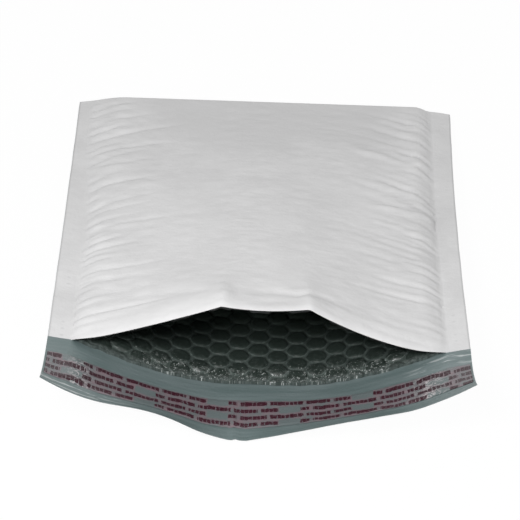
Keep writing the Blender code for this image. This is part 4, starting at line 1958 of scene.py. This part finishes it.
@dataclass(frozen=True)
class Studio:
    """Floor, lamps, background and camera. The camera's angles are in degrees."""

    ambient: float = 0.520
    floor_size: float = 6.0
    floor_drop: float = 0.0002
    floor_colour: Colour = (0.90, 0.90, 0.90)
    floor_roughness: float = 0.9
    floor_specular: float = 0.1
    floor_glow: float = 0.97
    camera_place: tuple[float, float, float] = (-0.00715, -1.2108, 0.7576)
    yaw: float = 0.316
    pitch: float = 32.01
    roll: float = 2.12
    focal_pixels: float = 2678.0
    photo_width: float = 520.0
    sensor_width: float = 36.0
    lamps: tuple[SoftBox, ...] = (
        SoftBox("key_lamp", (-0.25, -0.64, 0.60), 0.30, 5.7),
        SoftBox("fill_lamp", (0.9, -0.6, 0.9), 1.1, 2.0),
    )

    def seen_directly(self, shader: Shader) -> Value:
        """Tells what the camera, or a mirror or a glass on the way to it, sees.

        Args:
            shader: The nodes of the material or of the world.

        Returns:
            1 for those rays, and 0 for the light that falls on the mailer.
        """
        rays = ("Is Camera Ray", "Is Glossy Ray", "Is Transmission Ray")
        camera, glossy, through = (shader.node("ShaderNodeLightPath", {}, {}, ray) for ray in rays)
        return camera + glossy + through

    def floor(self) -> None:
        """Lays a pale floor that is white to the camera but keeps the mailer's shadow."""
        mesh = bpy.data.meshes.new("studio_floor")
        form = bmesh.new()
        bmesh.ops.create_grid(form, x_segments=1, y_segments=1, size=self.floor_size / 2)
        form.to_mesh(mesh)
        form.free()
        plane = bpy.data.objects.new("studio_floor", mesh)
        plane.location.z = -self.floor_drop
        bpy.context.scene.collection.objects.link(plane)
        shader = Shader.of_material("pale_floor")
        mesh.materials.append(shader.finish({
            "Base Color": self.floor_colour,
            "Roughness": self.floor_roughness,
            "Specular IOR Level": self.floor_specular,
        }))
        glow = shader.node("ShaderNodeEmission", {}, {"Color": WHITE, "Strength": 1.0})
        surface = Value(shader, shader.surface.outputs[0])
        share = self.seen_directly(shader) * self.floor_glow
        mixed = shader.node("ShaderNodeMixShader", {}, {0: share, 1: surface, 2: glow})
        shader.feed(shader.tree.nodes["Material Output"].inputs["Surface"], mixed)

    def background(self) -> None:
        """Makes the world white to the camera and a plain level for the light."""
        world = bpy.data.worlds.new("studio_world")
        bpy.context.scene.world = world
        shader = Shader(world)
        sky = shader.tree.nodes["Background"]
        shader.feed(sky.inputs["Color"], WHITE)
        shader.feed(sky.inputs["Strength"], self.seen_directly(shader).pick(Span(self.ambient, 1.0)))

    def camera(self) -> None:
        """Sets the camera up at the photograph's angle."""
        yaw, pitch, roll = (math.radians(angle) for angle in (self.yaw, self.pitch, self.roll))
        ahead = Vector((math.sin(yaw) * math.cos(pitch), math.cos(yaw) * math.cos(pitch), -math.sin(pitch)))
        level = Vector((math.cos(yaw), -math.sin(yaw), 0.0))
        above = level.cross(ahead)
        right = math.cos(roll) * level + math.sin(roll) * above
        up = -math.sin(roll) * level + math.cos(roll) * above
        lens = bpy.data.cameras.new("photo_camera")
        lens.sensor_width = self.sensor_width
        lens.lens = self.focal_pixels / self.photo_width * self.sensor_width
        viewer = bpy.data.objects.new("photo_camera", lens)
        turned = Matrix((right, up, -ahead)).transposed().to_4x4()
        viewer.matrix_world = Matrix.Translation(self.camera_place) @ turned
        bpy.context.scene.collection.objects.link(viewer)
        bpy.context.scene.camera = viewer

    def build(self) -> None:
        """Sets the studio up."""
        bpy.context.scene.view_settings.view_transform = "Standard"
        self.floor()
        self.background()
        self.camera()
        for lamp in self.lamps:
            lamp.build()


def main() -> None:
    """Builds the mailer and the studio around it, and reports each piece."""
    logging.basicConfig(level=logging.INFO, format="%(name)s: %(message)s")
    form = MailerForm()
    for assembly in (FilmBag(form, FilmRelief(form)), BubbleLining(form), Closure(form)):
        for piece in assembly.build():
            mesh = piece.data
            log.info("%s: %d points, %d faces", piece.name, len(mesh.vertices), len(mesh.polygons))
    studio = Studio()
    studio.build()
    log.info("studio: floor, %d lamps, camera", len(studio.lamps))


if __name__ == "__main__":
    main()
